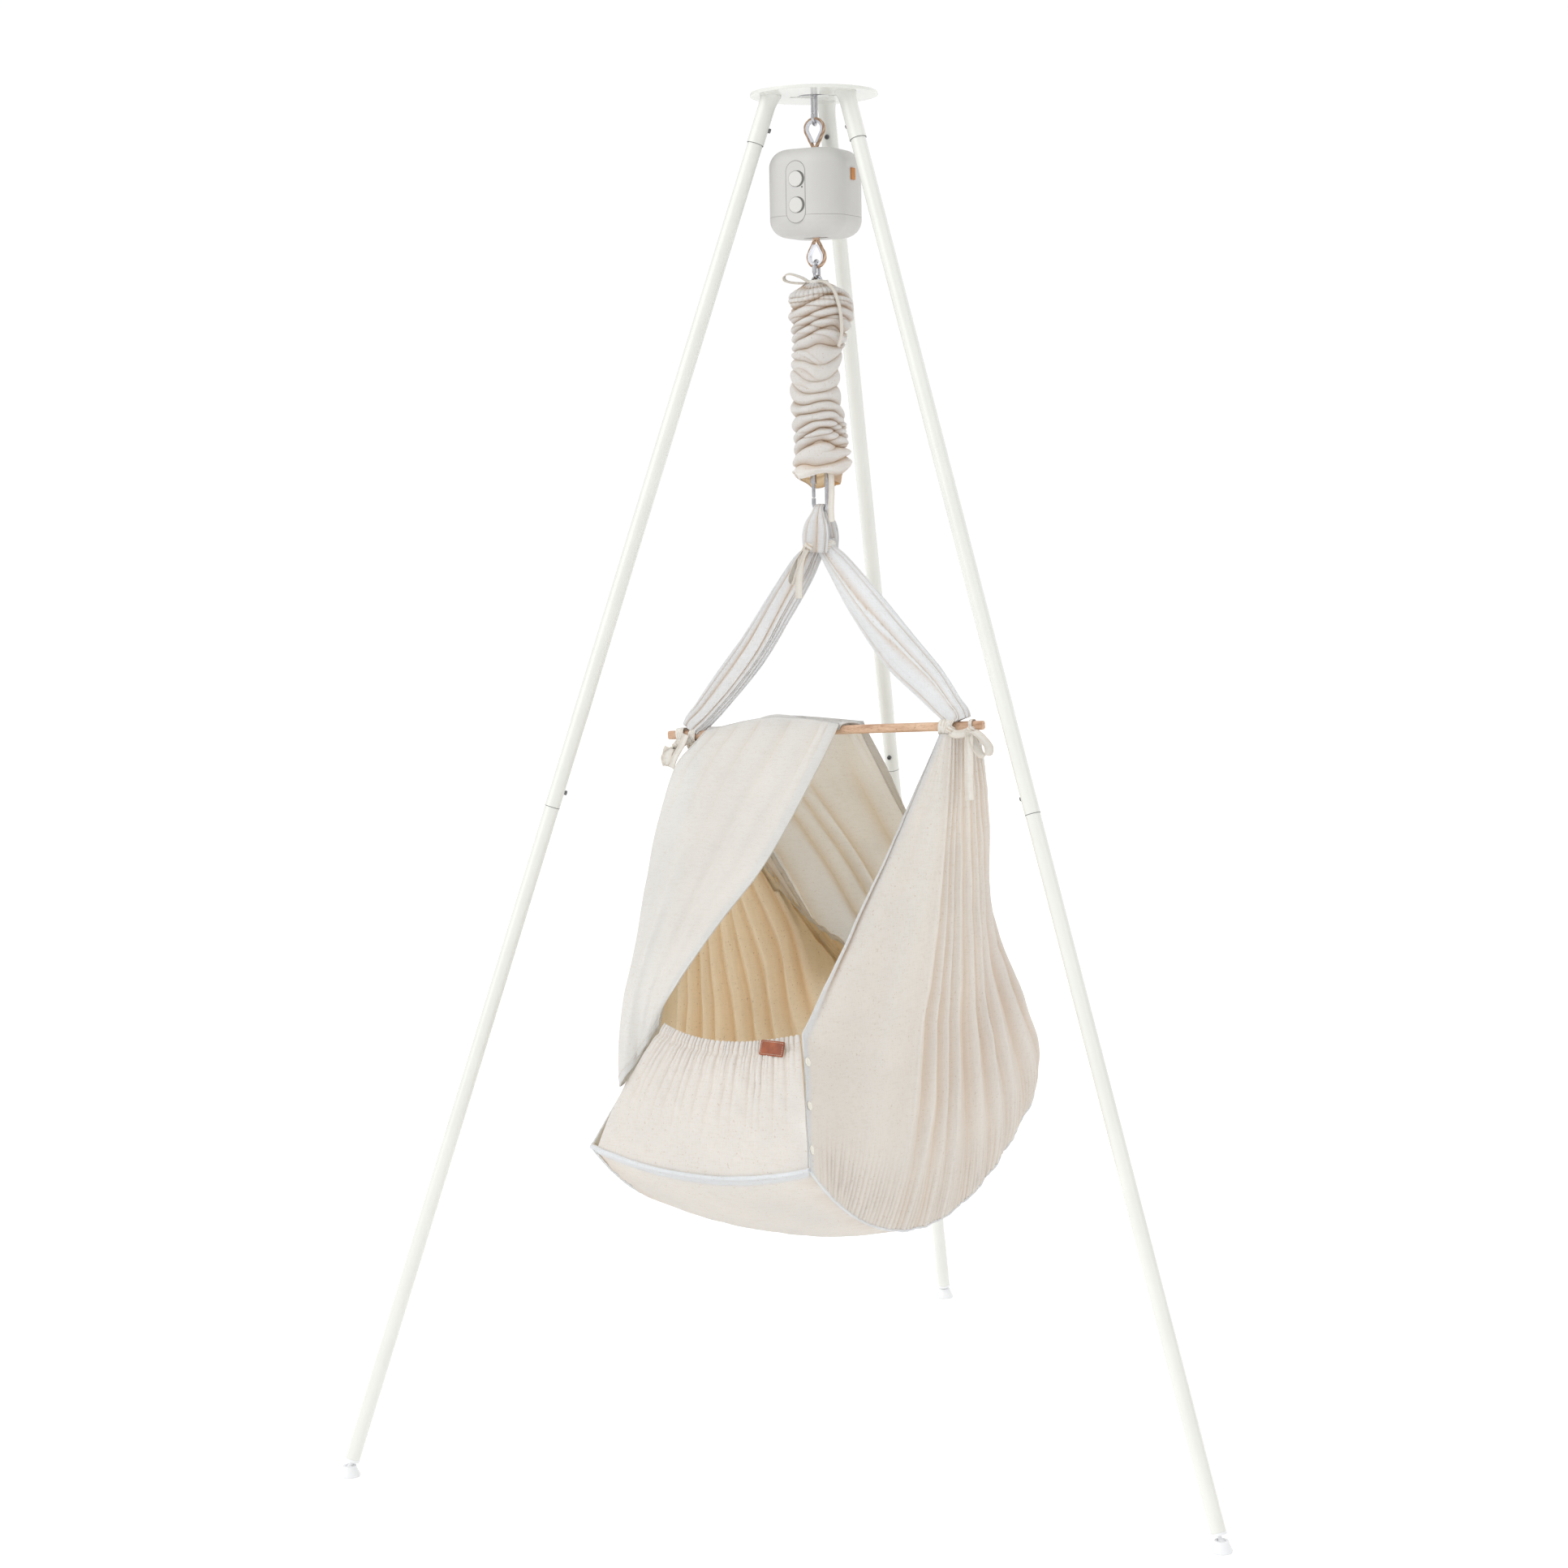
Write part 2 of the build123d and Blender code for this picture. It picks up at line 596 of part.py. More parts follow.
# a gathered cotton sleeve over the spring
cover_top, cover_low = 1727.0, 1438.0
cover_outer = [(18.0, cover_top), (38.0, 1722.0), (48.0, 1702.0), (46.0, 1680.0), (40.0, 1650.0), (38.0, 1600.0),
               (39.0, 1550.0), (42.0, 1510.0), (43.0, 1475.0), (45.0, cover_low)]
with BuildPart() as spring_cover:
    with BuildSketch(front):
        with BuildLine():
            Polyline(*cover_outer, (42.0, cover_low), (40.0, 1475.0), (39.0, 1510.0), (36.0, 1550.0), (35.0, 1600.0),
                     (37.0, 1650.0), (43.0, 1680.0), (45.0, 1701.0), (36.0, 1718.5), (18.0, 1723.5), close=True)
        make_face()
    revolve(axis=Axis(front.origin, (0, 0, 1)))
spring_cover.part.label = "spring_cover"
export_step(spring_cover.part, "parts/spring_cover.step")

# ================================================================ lower carabiner
lock_low, lock_high = hook_low + 8.0, hook_top - 4.0
with BuildPart() as lower_carabiner:
    with BuildLine(front):
        a = Line((-hook_half, lock_high), (-hook_half, hook_top))
        b = CenterArc((0, hook_top), hook_half, 180, -180)
        c = Line((hook_half, hook_top), (hook_half, hook_low))
        d = CenterArc((0, hook_low), hook_half, 0, -180)
        e = Line((-hook_half, hook_low), (-hook_half, lock_low))
    with BuildSketch(Plane(origin=a @ 0, z_dir=a % 0)):
        Circle(hook_wire)
    sweep()
lower_carabiner.part.label = "lower_carabiner"
export_step(lower_carabiner.part, "parts/lower_carabiner.step")

with BuildPart() as lower_gate:
    with BuildSketch(hang.offset(lock_low + 0.6)):
        with Locations((-hook_half, 0)):
            Circle(2.6)
    extrude(amount=lock_high - lock_low - 1.0)
    fillet(lower_gate.edges().filter_by(GeomType.CIRCLE).sort_by(Axis.Z)[0], 1.5)
lower_gate.part.label = "lower_gate"
export_step(lower_gate.part, "parts/lower_gate.step")

sleeve_length = 16.0
with BuildPart() as lock_sleeve:
    with BuildSketch(hang.offset(lock_high - 1.0 - sleeve_length)):
        with Locations((-hook_half, 0)):
            Circle(4.6)
            Circle(2.66, mode=Mode.SUBTRACT)
    extrude(amount=sleeve_length)
    chamfer(lock_sleeve.edges().filter_by(GeomType.CIRCLE).filter_by(lambda e: e.radius > 4), 0.4)
lock_sleeve.part.label = "lock_sleeve"
export_step(lock_sleeve.part, "parts/lock_sleeve.step")

# ================================================================ hanging straps
hook_wire_low = hook_low - hook_half          # centre of the lower bow's wire
tie_level, tie_height = 1345.0, 16.0
with BuildPart() as strap_loop:
    with BuildSketch(side.offset(-6.5)):
        with BuildLine():
            Line((-10.5, hook_wire_low - 8), (-10.5, hook_wire_low))
            ThreePointArc((-10.5, hook_wire_low), (0, hook_wire_low + 10.5), (10.5, hook_wire_low))
            Line((10.5, hook_wire_low), (10.5, hook_wire_low - 8))
            Line((10.5, hook_wire_low - 8), (5.8, hook_wire_low - 8))
            Line((5.8, hook_wire_low - 8), (5.8, hook_wire_low))
            ThreePointArc((5.8, hook_wire_low), (0, hook_wire_low + 5.8), (-5.8, hook_wire_low))
            Line((-5.8, hook_wire_low), (-5.8, hook_wire_low - 8))
            Line((-5.8, hook_wire_low - 8), (-10.5, hook_wire_low - 8))
        make_face()
    extrude(amount=13)
    with BuildSketch(hang.offset(hook_wire_low - 7.5)):
        RectangleRounded(46, 24, 9)
    with BuildSketch(hang.offset(tie_level + tie_height / 2 + 2)):
        RectangleRounded(40, 22, 9)
    loft()
    with BuildSketch(hang.offset(1332.0)):
        RectangleRounded(34, 20, 9)
    extrude(amount=tie_level + tie_height / 2 + 2 - 1332.0)
strap_loop.part.label = "strap_loop"
export_step(strap_loop.part, "parts/strap_loop.step")

with BuildPart() as top_tie:
    with BuildSketch(hang.offset(tie_level - tie_height / 2)):
        RectangleRounded(38.4, 24.4, 11)
        RectangleRounded(34.3, 20.3, 9.1, mode=Mode.SUBTRACT)
    extrude(amount=tie_height)
top_tie.part.label = "top_tie"
export_step(top_tie.part, "parts/top_tie.step")

spreader_plane = Plane(origin=front.origin + Vector(0, 0, spreader_level), x_dir=u_dir, z_dir=back_dir)
tilt_x = (u_dir[0] * cos(radians(spreader_tilt)), u_dir[1] * cos(radians(spreader_tilt)), sin(radians(spreader_tilt)))
bar_start = Vector(*u_dir) * spreader_shift + Vector(0, axis_y, spreader_level) - Vector(*tilt_x) * (spreader_length / 2)
with BuildPart() as spreader_bar:
    with BuildSketch(Plane(origin=bar_start, x_dir=v_dir, z_dir=tilt_x)):
        RectangleRounded(14, 13, 4)
    extrude(amount=spreader_length)
    chamfer(spreader_bar.faces().sort_by(Axis(bar_start, tilt_x))[-1].edges(), 1.0)
    chamfer(spreader_bar.faces().sort_by(Axis(bar_start, tilt_x))[0].edges(), 1.0)
spreader_bar.part.label = "spreader_bar"
export_step(spreader_bar.part, "parts/spreader_bar.step")


def bar_height(u):
    """Height of the spreader's centre line above a place across the cradle."""
    return spreader_level + (u - spreader_shift) * tan(radians(spreader_tilt))


strap_sections = {
    "left": ((-11.5, 1331.0, 20, 18), (-29, 1309.0, 50, 17), (-118, 1189.0, 62, 17), (-229, 0, 36, 22)),
    "right": ((11.5, 1331.0, 20, 18), (29, 1309.0, 46, 17), (116, 1189.0, 76, 17), (222, 0, 38, 22)),
}
for where, sections in strap_sections.items():
    with BuildPart() as strap:
        for u, level, width, depth in sections:
            if level == 0:
                level = bar_height(u) + 9.5
            with BuildSketch(hang.offset(level)):
                with Locations((u, 0)):
                    RectangleRounded(width, depth, 6)
        loft(ruled=True)
    strap.part.label = "strap_" + where
    export_step(strap.part, "parts/strap_" + where + ".step")

for where, u in tie_place.items():
    mid = Vector(*u_dir) * u + Vector(0, axis_y, bar_height(u))
    with BuildPart() as bar_tie:
        with BuildSketch(Plane(origin=mid - Vector(*tilt_x) * 9, x_dir=v_dir, z_dir=tilt_x)):
            RectangleRounded(17.4, 16.4, 5.5)
            RectangleRounded(14.2, 13.2, 4.1, mode=Mode.SUBTRACT)
        extrude(amount=18)
    bar_tie.part.label = "bar_tie_" + where
    export_step(bar_tie.part, "parts/bar_tie_" + where + ".step")

# ================================================================ cradle
sag = hem - belly
arc_radius = (cradle_half_length ** 2 + sag ** 2) / (2 * sag)
arc_centre = belly + arc_radius
with BuildPart() as base_sling:
    with BuildSketch(side.offset(-cradle_half_width)):
        with BuildLine():
            ThreePointArc((-cradle_half_length, hem), (0, belly), (cradle_half_length, hem))
            Line((cradle_half_length, hem), (-cradle_half_length, hem))
        make_face()
    extrude(amount=2 * cradle_half_width)
    inner = cradle_half_length - cloth / sin(radians(40))
    with BuildSketch(side.offset(-cradle_half_width + cloth)):
        with BuildLine():
            ThreePointArc((-inner, hem + 0.1), (0, belly + cloth), (inner, hem + 0.1))
            Line((inner, hem + 0.1), (-inner, hem + 0.1))
        make_face()
    extrude(amount=2 * (cradle_half_width - cloth), mode=Mode.SUBTRACT)
base_sling.part.label = "base_sling"
export_step(base_sling.part, "parts/base_sling.step")

# a foam mattress bent to the sling's curve
low_radius = arc_radius - cloth - 1.5
high_radius = low_radius - mattress_thickness
half_angle = degrees(375.0 / (low_radius - mattress_thickness / 2)) * 0.985
with BuildPart() as mattress:
    with BuildSketch(side.offset(-cradle_half_width + cloth + 2.5)):
        with BuildLine():
            o = CenterArc((0, arc_centre), low_radius, 270 - half_angle, 2 * half_angle)
            i = CenterArc((0, arc_centre), high_radius, 270 - half_angle, 2 * half_angle)
            Line(o @ 0, i @ 0)
            Line(o @ 1, i @ 1)
        make_face()
    extrude(amount=2 * (cradle_half_width - cloth - 2.5))
mattress.part.label = "mattress"
export_step(mattress.part, "parts/mattress.step")

# The cloth walls are thin sheets of flat facets, given as (across, along, height).
def facets(rim, middle):
    """Triangles from a middle point to each span of a rim."""
    return [(a, b, middle) for a, b in zip(rim, rim[1:] + rim[:1])]


def spans(rows):
    """Triangles between neighbouring rows of points."""
    found = []
    for low, high in zip(rows, rows[1:]):
        for k in range(len(low) - 1):
            found.append((low[k], low[k + 1], high[k]))
            found.append((low[k + 1], high[k + 1], high[k]))
    return found


def place(point):
    """A world point from one given across, along and up from the stand's axis."""
    return Vector(*u_dir) * point[0] + Vector(*v_dir) * point[1] + Vector(0, axis_y, point[2])


def flat_face(corners):
    """A face with its corners given across, along and up."""
    return Face(Wire.make_polygon([place(c) for c in corners], close=True))


wing_low, opening_level = hem + 1.0, 674.0
wing_rims = {
    "left": [(-176, -388, wing_low), (-116, -303, opening_level), (-163, -138, 883), (-222, -4, 1040), (-252, 18, 1040),
             (-190, 230, 760), (-186, 322, 600), (-176, 378, wing_low)],
    "right": [(176, -388, wing_low), (116, -303, opening_level), (163, -138, 883), (203, -20, 1066), (236, 14, 1070),
              (190, 230, 760), (186, 322, 600), (176, 378, wing_low)],
}
for where, rim in wing_rims.items():
    sign = -1 if where == "left" else 1
    with BuildPart() as side_wing:
        for corners in facets(rim, (sign * 186, 40, 740)):
            extrude(flat_face(corners), amount=cloth, dir=Vector(*u_dir) * sign)
    side_wing.part.label = "side_wing_" + where
    export_step(side_wing.part, "parts/side_wing_" + where + ".step")

# head panel: from the head rim, leaning in between the wings, its top edge hanging in a curve
head_rim = [(-170, 376, 509), (-182, 318, 600), (-182, 222, 757), (-136, 158, 776), (-78, 204, 715), (0, 236, 686),
            (78, 204, 715), (136, 158, 776), (182, 222, 757), (182, 318, 600), (170, 376, 509), (0, 386, 508)]
with BuildPart() as head_panel:
    for corners in facets(head_rim, (0, 312, 600)):
        extrude(flat_face(corners), amount=cloth, dir=v_dir)
head_panel.part.label = "head_panel"
export_step(head_panel.part, "parts/head_panel.step")

# foot panel: closes the foot end, leaning in, and folds down about its lower hem
panel_run, panel_rise = 87.0, 163.0
panel_length = sqrt(panel_run ** 2 + panel_rise ** 2)
panel_up = Vector(*v_dir) * (panel_run / panel_length) + Vector(0, 0, panel_rise / panel_length)
panel_out = Vector(*u_dir).cross(panel_up)
panel_plane = Plane(origin=place((0, -389, hem + 4.5)), x_dir=u_dir, z_dir=panel_out)
with BuildPart() as foot_panel:
    with BuildSketch(panel_plane):
        with BuildLine():
            Polyline((-166, 0), (-138, panel_length / 2), (-110, panel_length - 2), (110, panel_length - 2),
                     (138, panel_length / 2), (166, 0), close=True)
        make_face()
    extrude(amount=-cloth)
foot_panel.part.label = "foot_panel"
export_step(foot_panel.part, "parts/foot_panel.step")

with BuildPart() as leather_label:
    with BuildSketch(panel_plane.offset(0.05)):
        with Locations((84, panel_length - 14)):
            RectangleRounded(36, 22, 1.5)
    extrude(amount=1.6)
leather_label.part.label = "leather_label"
export_step(leather_label.part, "parts/leather_label.step")

# snaps down both front edges of the wings
with BuildPart() as snap_buttons:
    for sign in (-1, 1):
        for level, across in ((534.0, 176.0), (588.0, 166.0), (642.0, 152.0)):
            edge = -388.0 + (level - wing_low) * 85.0 / (opening_level - wing_low)
            with BuildSketch(side.offset(sign * (across + 5.5))):
                with Locations((edge + 15, level)):
                    Circle(5.0)
            extrude(amount=sign * 1.8)
snap_buttons.part.label = "snap_buttons"
export_step(snap_buttons.part, "parts/snap_buttons.step")

# canopy: one sheet laid over the spreader, down outside the left wing in front and
# behind the head panel at the back
canopy_cloth = 2.5
front_rows = [
    [(-205, -9, bar_height(-205) + 9), (-188, -9, bar_height(-188) + 9), (-80, -9, bar_height(-80) + 9), (32, -9, bar_height(32) + 9)],
    [(-243, -22, 1018), (-226, -38, 1018), (-104, -66, 1012), (18, -88, 994)],
    [(-251, -30, 920), (-222, -125, 895), (-127, -180, 860), (-6, -183, 886)],
    [(-244, -55, 800), (-186, -218, 788), (-134, -240, 788), (-42, -248, 810)],
    [(-222, -110, 600), (-160, -336, 600), (-137, -322, 650), (-117, -318, 677)],
]
rear_rows = [
    [(-205, 9, bar_height(-205) + 9), (-188, 9, bar_height(-188) + 9), (-80, 9, bar_height(-80) + 9), (55, 9, bar_height(55) + 9)],
    [(-225, 110, 930), (-150, 120, 930), (-50, 115, 930), (75, 110, 950)],
    [(-215, 215, 800), (-120, 215, 790), (0, 222, 790), (100, 225, 800)],
    [(-205, 310, 660), (-100, 315, 660), (0, 315, 660), (116, 315, 670)],
]
with BuildPart() as canopy_sheet:
    for rows, way in ((front_rows, back_dir), (rear_rows, v_dir)):
        for corners in spans(rows):
            extrude(flat_face(corners), amount=canopy_cloth, dir=way)
    with BuildSketch(front.offset(-9 - canopy_cloth)):
        with BuildLine():
            Polyline((-205, bar_height(-205) + 8.5), (32, bar_height(32) + 8.5), (55, bar_height(55) + 8.5),
                     (55, bar_height(55) + 11.5), (-205, bar_height(-205) + 11.5), close=True)
        make_face()
    extrude(amount=2 * (9 + canopy_cloth))
canopy_sheet.part.label = "canopy_sheet"
export_step(canopy_sheet.part, "parts/canopy_sheet.step")
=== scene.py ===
import bpy
import math
import bmesh
import numpy as np
from mathutils import Matrix, Vector

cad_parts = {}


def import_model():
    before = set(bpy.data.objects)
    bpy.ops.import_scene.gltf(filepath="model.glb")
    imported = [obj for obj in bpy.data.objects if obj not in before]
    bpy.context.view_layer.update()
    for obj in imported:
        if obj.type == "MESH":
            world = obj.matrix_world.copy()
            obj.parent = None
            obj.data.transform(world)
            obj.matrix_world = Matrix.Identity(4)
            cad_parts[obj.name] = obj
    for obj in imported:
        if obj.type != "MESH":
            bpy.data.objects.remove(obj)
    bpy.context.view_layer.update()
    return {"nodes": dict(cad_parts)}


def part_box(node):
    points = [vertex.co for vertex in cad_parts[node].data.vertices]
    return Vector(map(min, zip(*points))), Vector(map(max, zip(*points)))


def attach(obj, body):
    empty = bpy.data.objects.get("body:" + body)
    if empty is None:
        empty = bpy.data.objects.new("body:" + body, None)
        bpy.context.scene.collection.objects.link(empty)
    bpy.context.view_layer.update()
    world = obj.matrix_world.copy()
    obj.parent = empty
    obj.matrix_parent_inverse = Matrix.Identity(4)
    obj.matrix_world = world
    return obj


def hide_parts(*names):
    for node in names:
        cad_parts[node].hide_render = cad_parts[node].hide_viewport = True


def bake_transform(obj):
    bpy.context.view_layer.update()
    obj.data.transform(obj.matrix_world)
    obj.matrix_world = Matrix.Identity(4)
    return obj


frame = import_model()
scene = bpy.context.scene

# ------------------------------------------------------------------ the hanging parts' own axes
# u runs across the cradle, v along it (the foot end is at -v), z up; the
# stand's vertical axis is at u = v = 0.
AY = (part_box("top_plate")[0].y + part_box("top_plate")[1].y) / 2
TURN = math.radians(-12.5)
UD = np.array([math.cos(TURN), math.sin(TURN), 0.0])
VD = np.array([-math.sin(TURN), math.cos(TURN), 0.0])
ZD = np.array([0.0, 0.0, 1.0])
CENTRE = np.array([0.0, AY, 0.0])
TILT = math.tan(math.radians(3.0))


def world(p):
    p = np.asarray(p, float)
    return p[..., :1] * UD + p[..., 1:2] * VD + p[..., 2:3] * ZD + CENTRE


def bar_z(u):
    return 1.069 + (u + 0.004) * TILT


# ------------------------------------------------------------------ numbers and noise
def smooth(x, a=0.0, b=1.0):
    t = np.clip((np.asarray(x, float) - a) / (b - a), 0, 1)
    return t * t * (3 - 2 * t)


def lattice(i, j, seed):
    n = np.sin(i * 127.1 + j * 311.7 + seed * 74.7) * 43758.5453
    return n - np.floor(n)


def noise(x, y, seed=0, wrap=None):
    """Smooth value noise from 0 to 1; wrap repeats it along x."""
    x, y = np.broadcast_arrays(np.asarray(x, float), np.asarray(y, float))
    i, j = np.floor(x), np.floor(y)
    fx, fy = x - i, y - j
    fx, fy = fx * fx * (3 - 2 * fx), fy * fy * (3 - 2 * fy)
    i1 = i + 1
    if wrap:
        i, i1 = np.mod(i, wrap), np.mod(i1, wrap)
    a, b = lattice(i, j, seed), lattice(i1, j, seed)
    c, d = lattice(i, j + 1, seed), lattice(i1, j + 1, seed)
    return (a * (1 - fx) + b * fx) * (1 - fy) + (c * (1 - fx) + d * fx) * fy


def rough(x, y, seed=0, octaves=3, wrap=None):
    total, amp, norm = 0.0, 1.0, 0.0
    for k in range(octaves):
        total = total + amp * (noise(x * 2 ** k, y * 2 ** k, seed + 13 * k, wrap * 2 ** k if wrap else None) - 0.5)
        norm += amp
        amp *= 0.5
    return total / norm * 2


def spline(keys, x):
    """Catmull-Rom through keys (n, d) evaluated at x from 0 to 1, even in parameter."""
    k = np.asarray(keys, float)
    n = len(k) - 1
    x = np.clip(np.asarray(x, float), 0, 1) * n
    i = np.clip(np.floor(x).astype(int), 0, n - 1)
    f = (x - i)[..., None]
    p0, p1, p2, p3 = k[np.clip(i - 1, 0, n)], k[i], k[i + 1], k[np.clip(i + 2, 0, n)]
    return 0.5 * ((2 * p1) + (p2 - p0) * f + (2 * p0 - 5 * p1 + 4 * p2 - p3) * f ** 2 + (3 * p1 - p0 - 3 * p2 + p3) * f ** 3)


def even(keys, n):
    """Points evenly spaced along a smooth curve through keys."""
    fine = spline(keys, np.linspace(0, 1, 60 * len(keys)))
    d = np.concatenate([[0], np.cumsum(np.linalg.norm(np.diff(fine, axis=0), axis=1))])
    s = np.linspace(0, d[-1], n)
    return np.stack([np.interp(s, d, fine[:, k]) for k in range(fine.shape[1])], 1)


def pleats(x, edges, skew=0.35, crown=0.8):
    """0 in the creases at edges and 1 on the crowns between them, with each crown leaning to one side."""
    edges = np.asarray(edges, float)
    i = np.clip(np.searchsorted(edges, x, side="right") - 1, 0, len(edges) - 2)
    f = np.clip((x - edges[i]) / (edges[i + 1] - edges[i]), 0, 1)
    f = f ** (math.log(0.5) / math.log(skew))
    return np.sin(np.pi * f) ** crown


def ridges(x, edges, steep=(1.5, 2.6)):
    """1 on the narrow ridges at edges and 0 in the wide hollows between them."""
    edges = np.asarray(edges, float)
    i = np.clip(np.searchsorted(edges, x, side="right") - 1, 0, len(edges) - 2)
    f = np.clip((x - edges[i]) / (edges[i + 1] - edges[i]), 0, 1)
    return np.maximum((1 - f) ** steep[0] * (1 - smooth(f, 0.45, 0.95)), f ** steep[1])


def uneven(n, seed, spread=0.45):
    """Edges from 0 to 1 of n unequal spans."""
    w = 1 + spread * (2 * lattice(np.arange(n), 3.0, seed) - 1)
    return np.concatenate([[0], np.cumsum(w) / w.sum()])


# ------------------------------------------------------------------ materials
def principled(name):
    m = bpy.data.materials.new(name)
    m.use_nodes = True
    return m, m.node_tree, m.node_tree.nodes["Principled BSDF"]


def put(tree, kind, **values):
    n = tree.nodes.new(kind)
    for k, v in values.items():
        if hasattr(n, k):
            setattr(n, k, v)
        else:
            n.inputs[k.replace("_", " ")].default_value = v
    return n


def lin(r, g, b):
    def f(c):
        c /= 255.0
        return c / 12.92 if c <= 0.04045 else ((c + 0.055) / 1.055) ** 2.4
    return (f(r), f(g), f(b), 1.0)


def texture(tree, kind, coord, scale, stretch=(1, 1, 1), turn=(0, 0, 0), **values):
    m = put(tree, "ShaderNodeMapping")
    m.inputs["Scale"].default_value = stretch
    m.inputs["Rotation"].default_value = turn
    tree.links.new(coord, m.inputs["Vector"])
    t = put(tree, kind, **values)
    t.inputs["Scale"].default_value = scale
    tree.links.new(m.outputs["Vector"], t.inputs["Vector"])
    return t


def ramp(tree, fac, stops):
    r = put(tree, "ShaderNodeValToRGB")
    while len(r.color_ramp.elements) < len(stops):
        r.color_ramp.elements.new(0.5)
    for e, (p, c) in zip(r.color_ramp.elements, stops):
        e.position, e.color = p, c
    tree.links.new(fac, r.inputs["Fac"])
    return r.outputs["Color"]


def mixed(tree, fac, a, b, mode="MIX"):
    m = put(tree, "ShaderNodeMix", data_type="RGBA", blend_type=mode)
    for value, socket in ((fac, m.inputs[0]), (a, m.inputs[6]), (b, m.inputs[7])):
        if hasattr(value, "links"):
            tree.links.new(value, socket)
        else:
            socket.default_value = value
    return m.outputs[2]


def bump(tree, bsdf, height, strength, distance):
    b = put(tree, "ShaderNodeBump")
    b.inputs["Strength"].default_value = strength
    b.inputs["Distance"].default_value = distance
    tree.links.new(height, b.inputs["Height"])
    if bsdf.inputs["Normal"].links:
        tree.links.new(bsdf.inputs["Normal"].links[0].from_socket, b.inputs["Normal"])
    tree.links.new(b.outputs["Normal"], bsdf.inputs["Normal"])


def varied(tree, bsdf, fac, low, high):
    m = put(tree, "ShaderNodeMapRange")
    m.inputs["To Min"].default_value, m.inputs["To Max"].default_value = low, high
    tree.links.new(fac, m.inputs["Value"])
    tree.links.new(m.outputs["Result"], bsdf.inputs["Roughness"])


def cotton(name, face, shade, fleck, flecks=0.5, weave=0.25, through=0.35):
    """Plain-woven natural cotton: crossed threads, slubs, seed flecks, and painted shade: a darker, warmer shade colour
    mixed in down in the folds.
    """
    m, t, b = principled(name)
    co = put(t, "ShaderNodeTexCoord").outputs["Object"]
    big = texture(t, "ShaderNodeTexNoise", co, 9.0, Detail=3.0)
    tone = ramp(t, big.outputs["Fac"], [(0.3, tuple(c * 0.955 for c in face[:3]) + (1,)), (0.7, face)])
    # painted shade: the shade colour is mixed over the tone as far as the per-point crease mask asks, darkening creases
    # and hollows
    crease_shade = put(t, "ShaderNodeAttribute", attribute_name="crease_shade")
    tone = mixed(t, crease_shade.outputs["Fac"], tone, shade)
    warp = texture(t, "ShaderNodeTexNoise", co, 620.0, stretch=(1, 1, 0.12), Detail=2.0)
    weft = texture(t, "ShaderNodeTexNoise", co, 620.0, stretch=(0.12, 0.12, 1), Detail=2.0)
    cloth = put(t, "ShaderNodeMath", operation="ADD")
    t.links.new(warp.outputs["Fac"], cloth.inputs[0])
    t.links.new(weft.outputs["Fac"], cloth.inputs[1])
    thread = ramp(t, cloth.outputs["Value"], [(0.8, (0.93, 0.92, 0.9, 1)), (1.0, (1, 1, 1, 1))])
    tone = mixed(t, 0.6, tone, thread, "MULTIPLY")
    spot = texture(t, "ShaderNodeTexNoise", co, 330.0, Detail=0.0)
    mask = ramp(t, spot.outputs["Fac"], [(0.755, (0, 0, 0, 1)), (0.80, (flecks,) * 3 + (1,))])
    tone = mixed(t, mask, tone, fleck)
    t.links.new(tone, b.inputs["Base Color"])
    varied(t, b, big.outputs["Fac"], 0.82, 0.93)
    b.inputs["Specular IOR Level"].default_value = 0.25
    b.inputs["Sheen Weight"].default_value = 0.12
    b.inputs["Sheen Roughness"].default_value = 0.5
    bump(t, b, cloth.outputs["Value"], weave, 0.0006)
    crumple = texture(t, "ShaderNodeTexNoise", co, 42.0, Detail=4.0, Roughness=0.55)
    bump(t, b, crumple.outputs["Fac"], 0.16, 0.004)
    if through:
        thin = put(t, "ShaderNodeBsdfTranslucent")
        t.links.new(tone, thin.inputs["Color"])
        both = put(t, "ShaderNodeMixShader")
        both.inputs["Fac"].default_value = through
        t.links.new(b.outputs["BSDF"], both.inputs[1])
        t.links.new(thin.outputs["BSDF"], both.inputs[2])
        t.links.new(both.outputs["Shader"], t.nodes["Material Output"].inputs["Surface"])
    return m


def painted(name, tone, roughness, coat, grain, depth):
    m, t, b = principled(name)
    co = put(t, "ShaderNodeTexCoord").outputs["Object"]
    wide = texture(t, "ShaderNodeTexNoise", co, 14.0, Detail=2.0)
    t.links.new(ramp(t, wide.outputs["Fac"], [(0.35, tuple(c * 0.97 for c in tone[:3]) + (1,)), (0.65, tone)]), b.inputs["Base Color"])
    fine = texture(t, "ShaderNodeTexNoise", co, grain, Detail=2.0)
    varied(t, b, wide.outputs["Fac"], roughness - 0.03, roughness + 0.05)
    b.inputs["Coat Weight"].default_value = coat
    b.inputs["Coat Roughness"].default_value = 0.12
    bump(t, b, fine.outputs["Fac"], 0.12, depth)
    return m


def metal(name, tone, roughness, scratch=0.05):
    m, t, b = principled(name)
    co = put(t, "ShaderNodeTexCoord").outputs["Object"]
    wear = texture(t, "ShaderNodeTexNoise", co, 90.0, Detail=4.0)
    line = texture(t, "ShaderNodeTexNoise", co, 700.0, stretch=(1, 1, 0.06), Detail=2.0)
    t.links.new(ramp(t, wear.outputs["Fac"], [(0.35, tuple(c * 0.86 for c in tone[:3]) + (1,)), (0.62, tone)]), b.inputs["Base Color"])
    b.inputs["Metallic"].default_value = 1.0
    varied(t, b, wear.outputs["Fac"], roughness, roughness + 0.14)
    bump(t, b, line.outputs["Fac"], scratch, 0.0003)
    return m
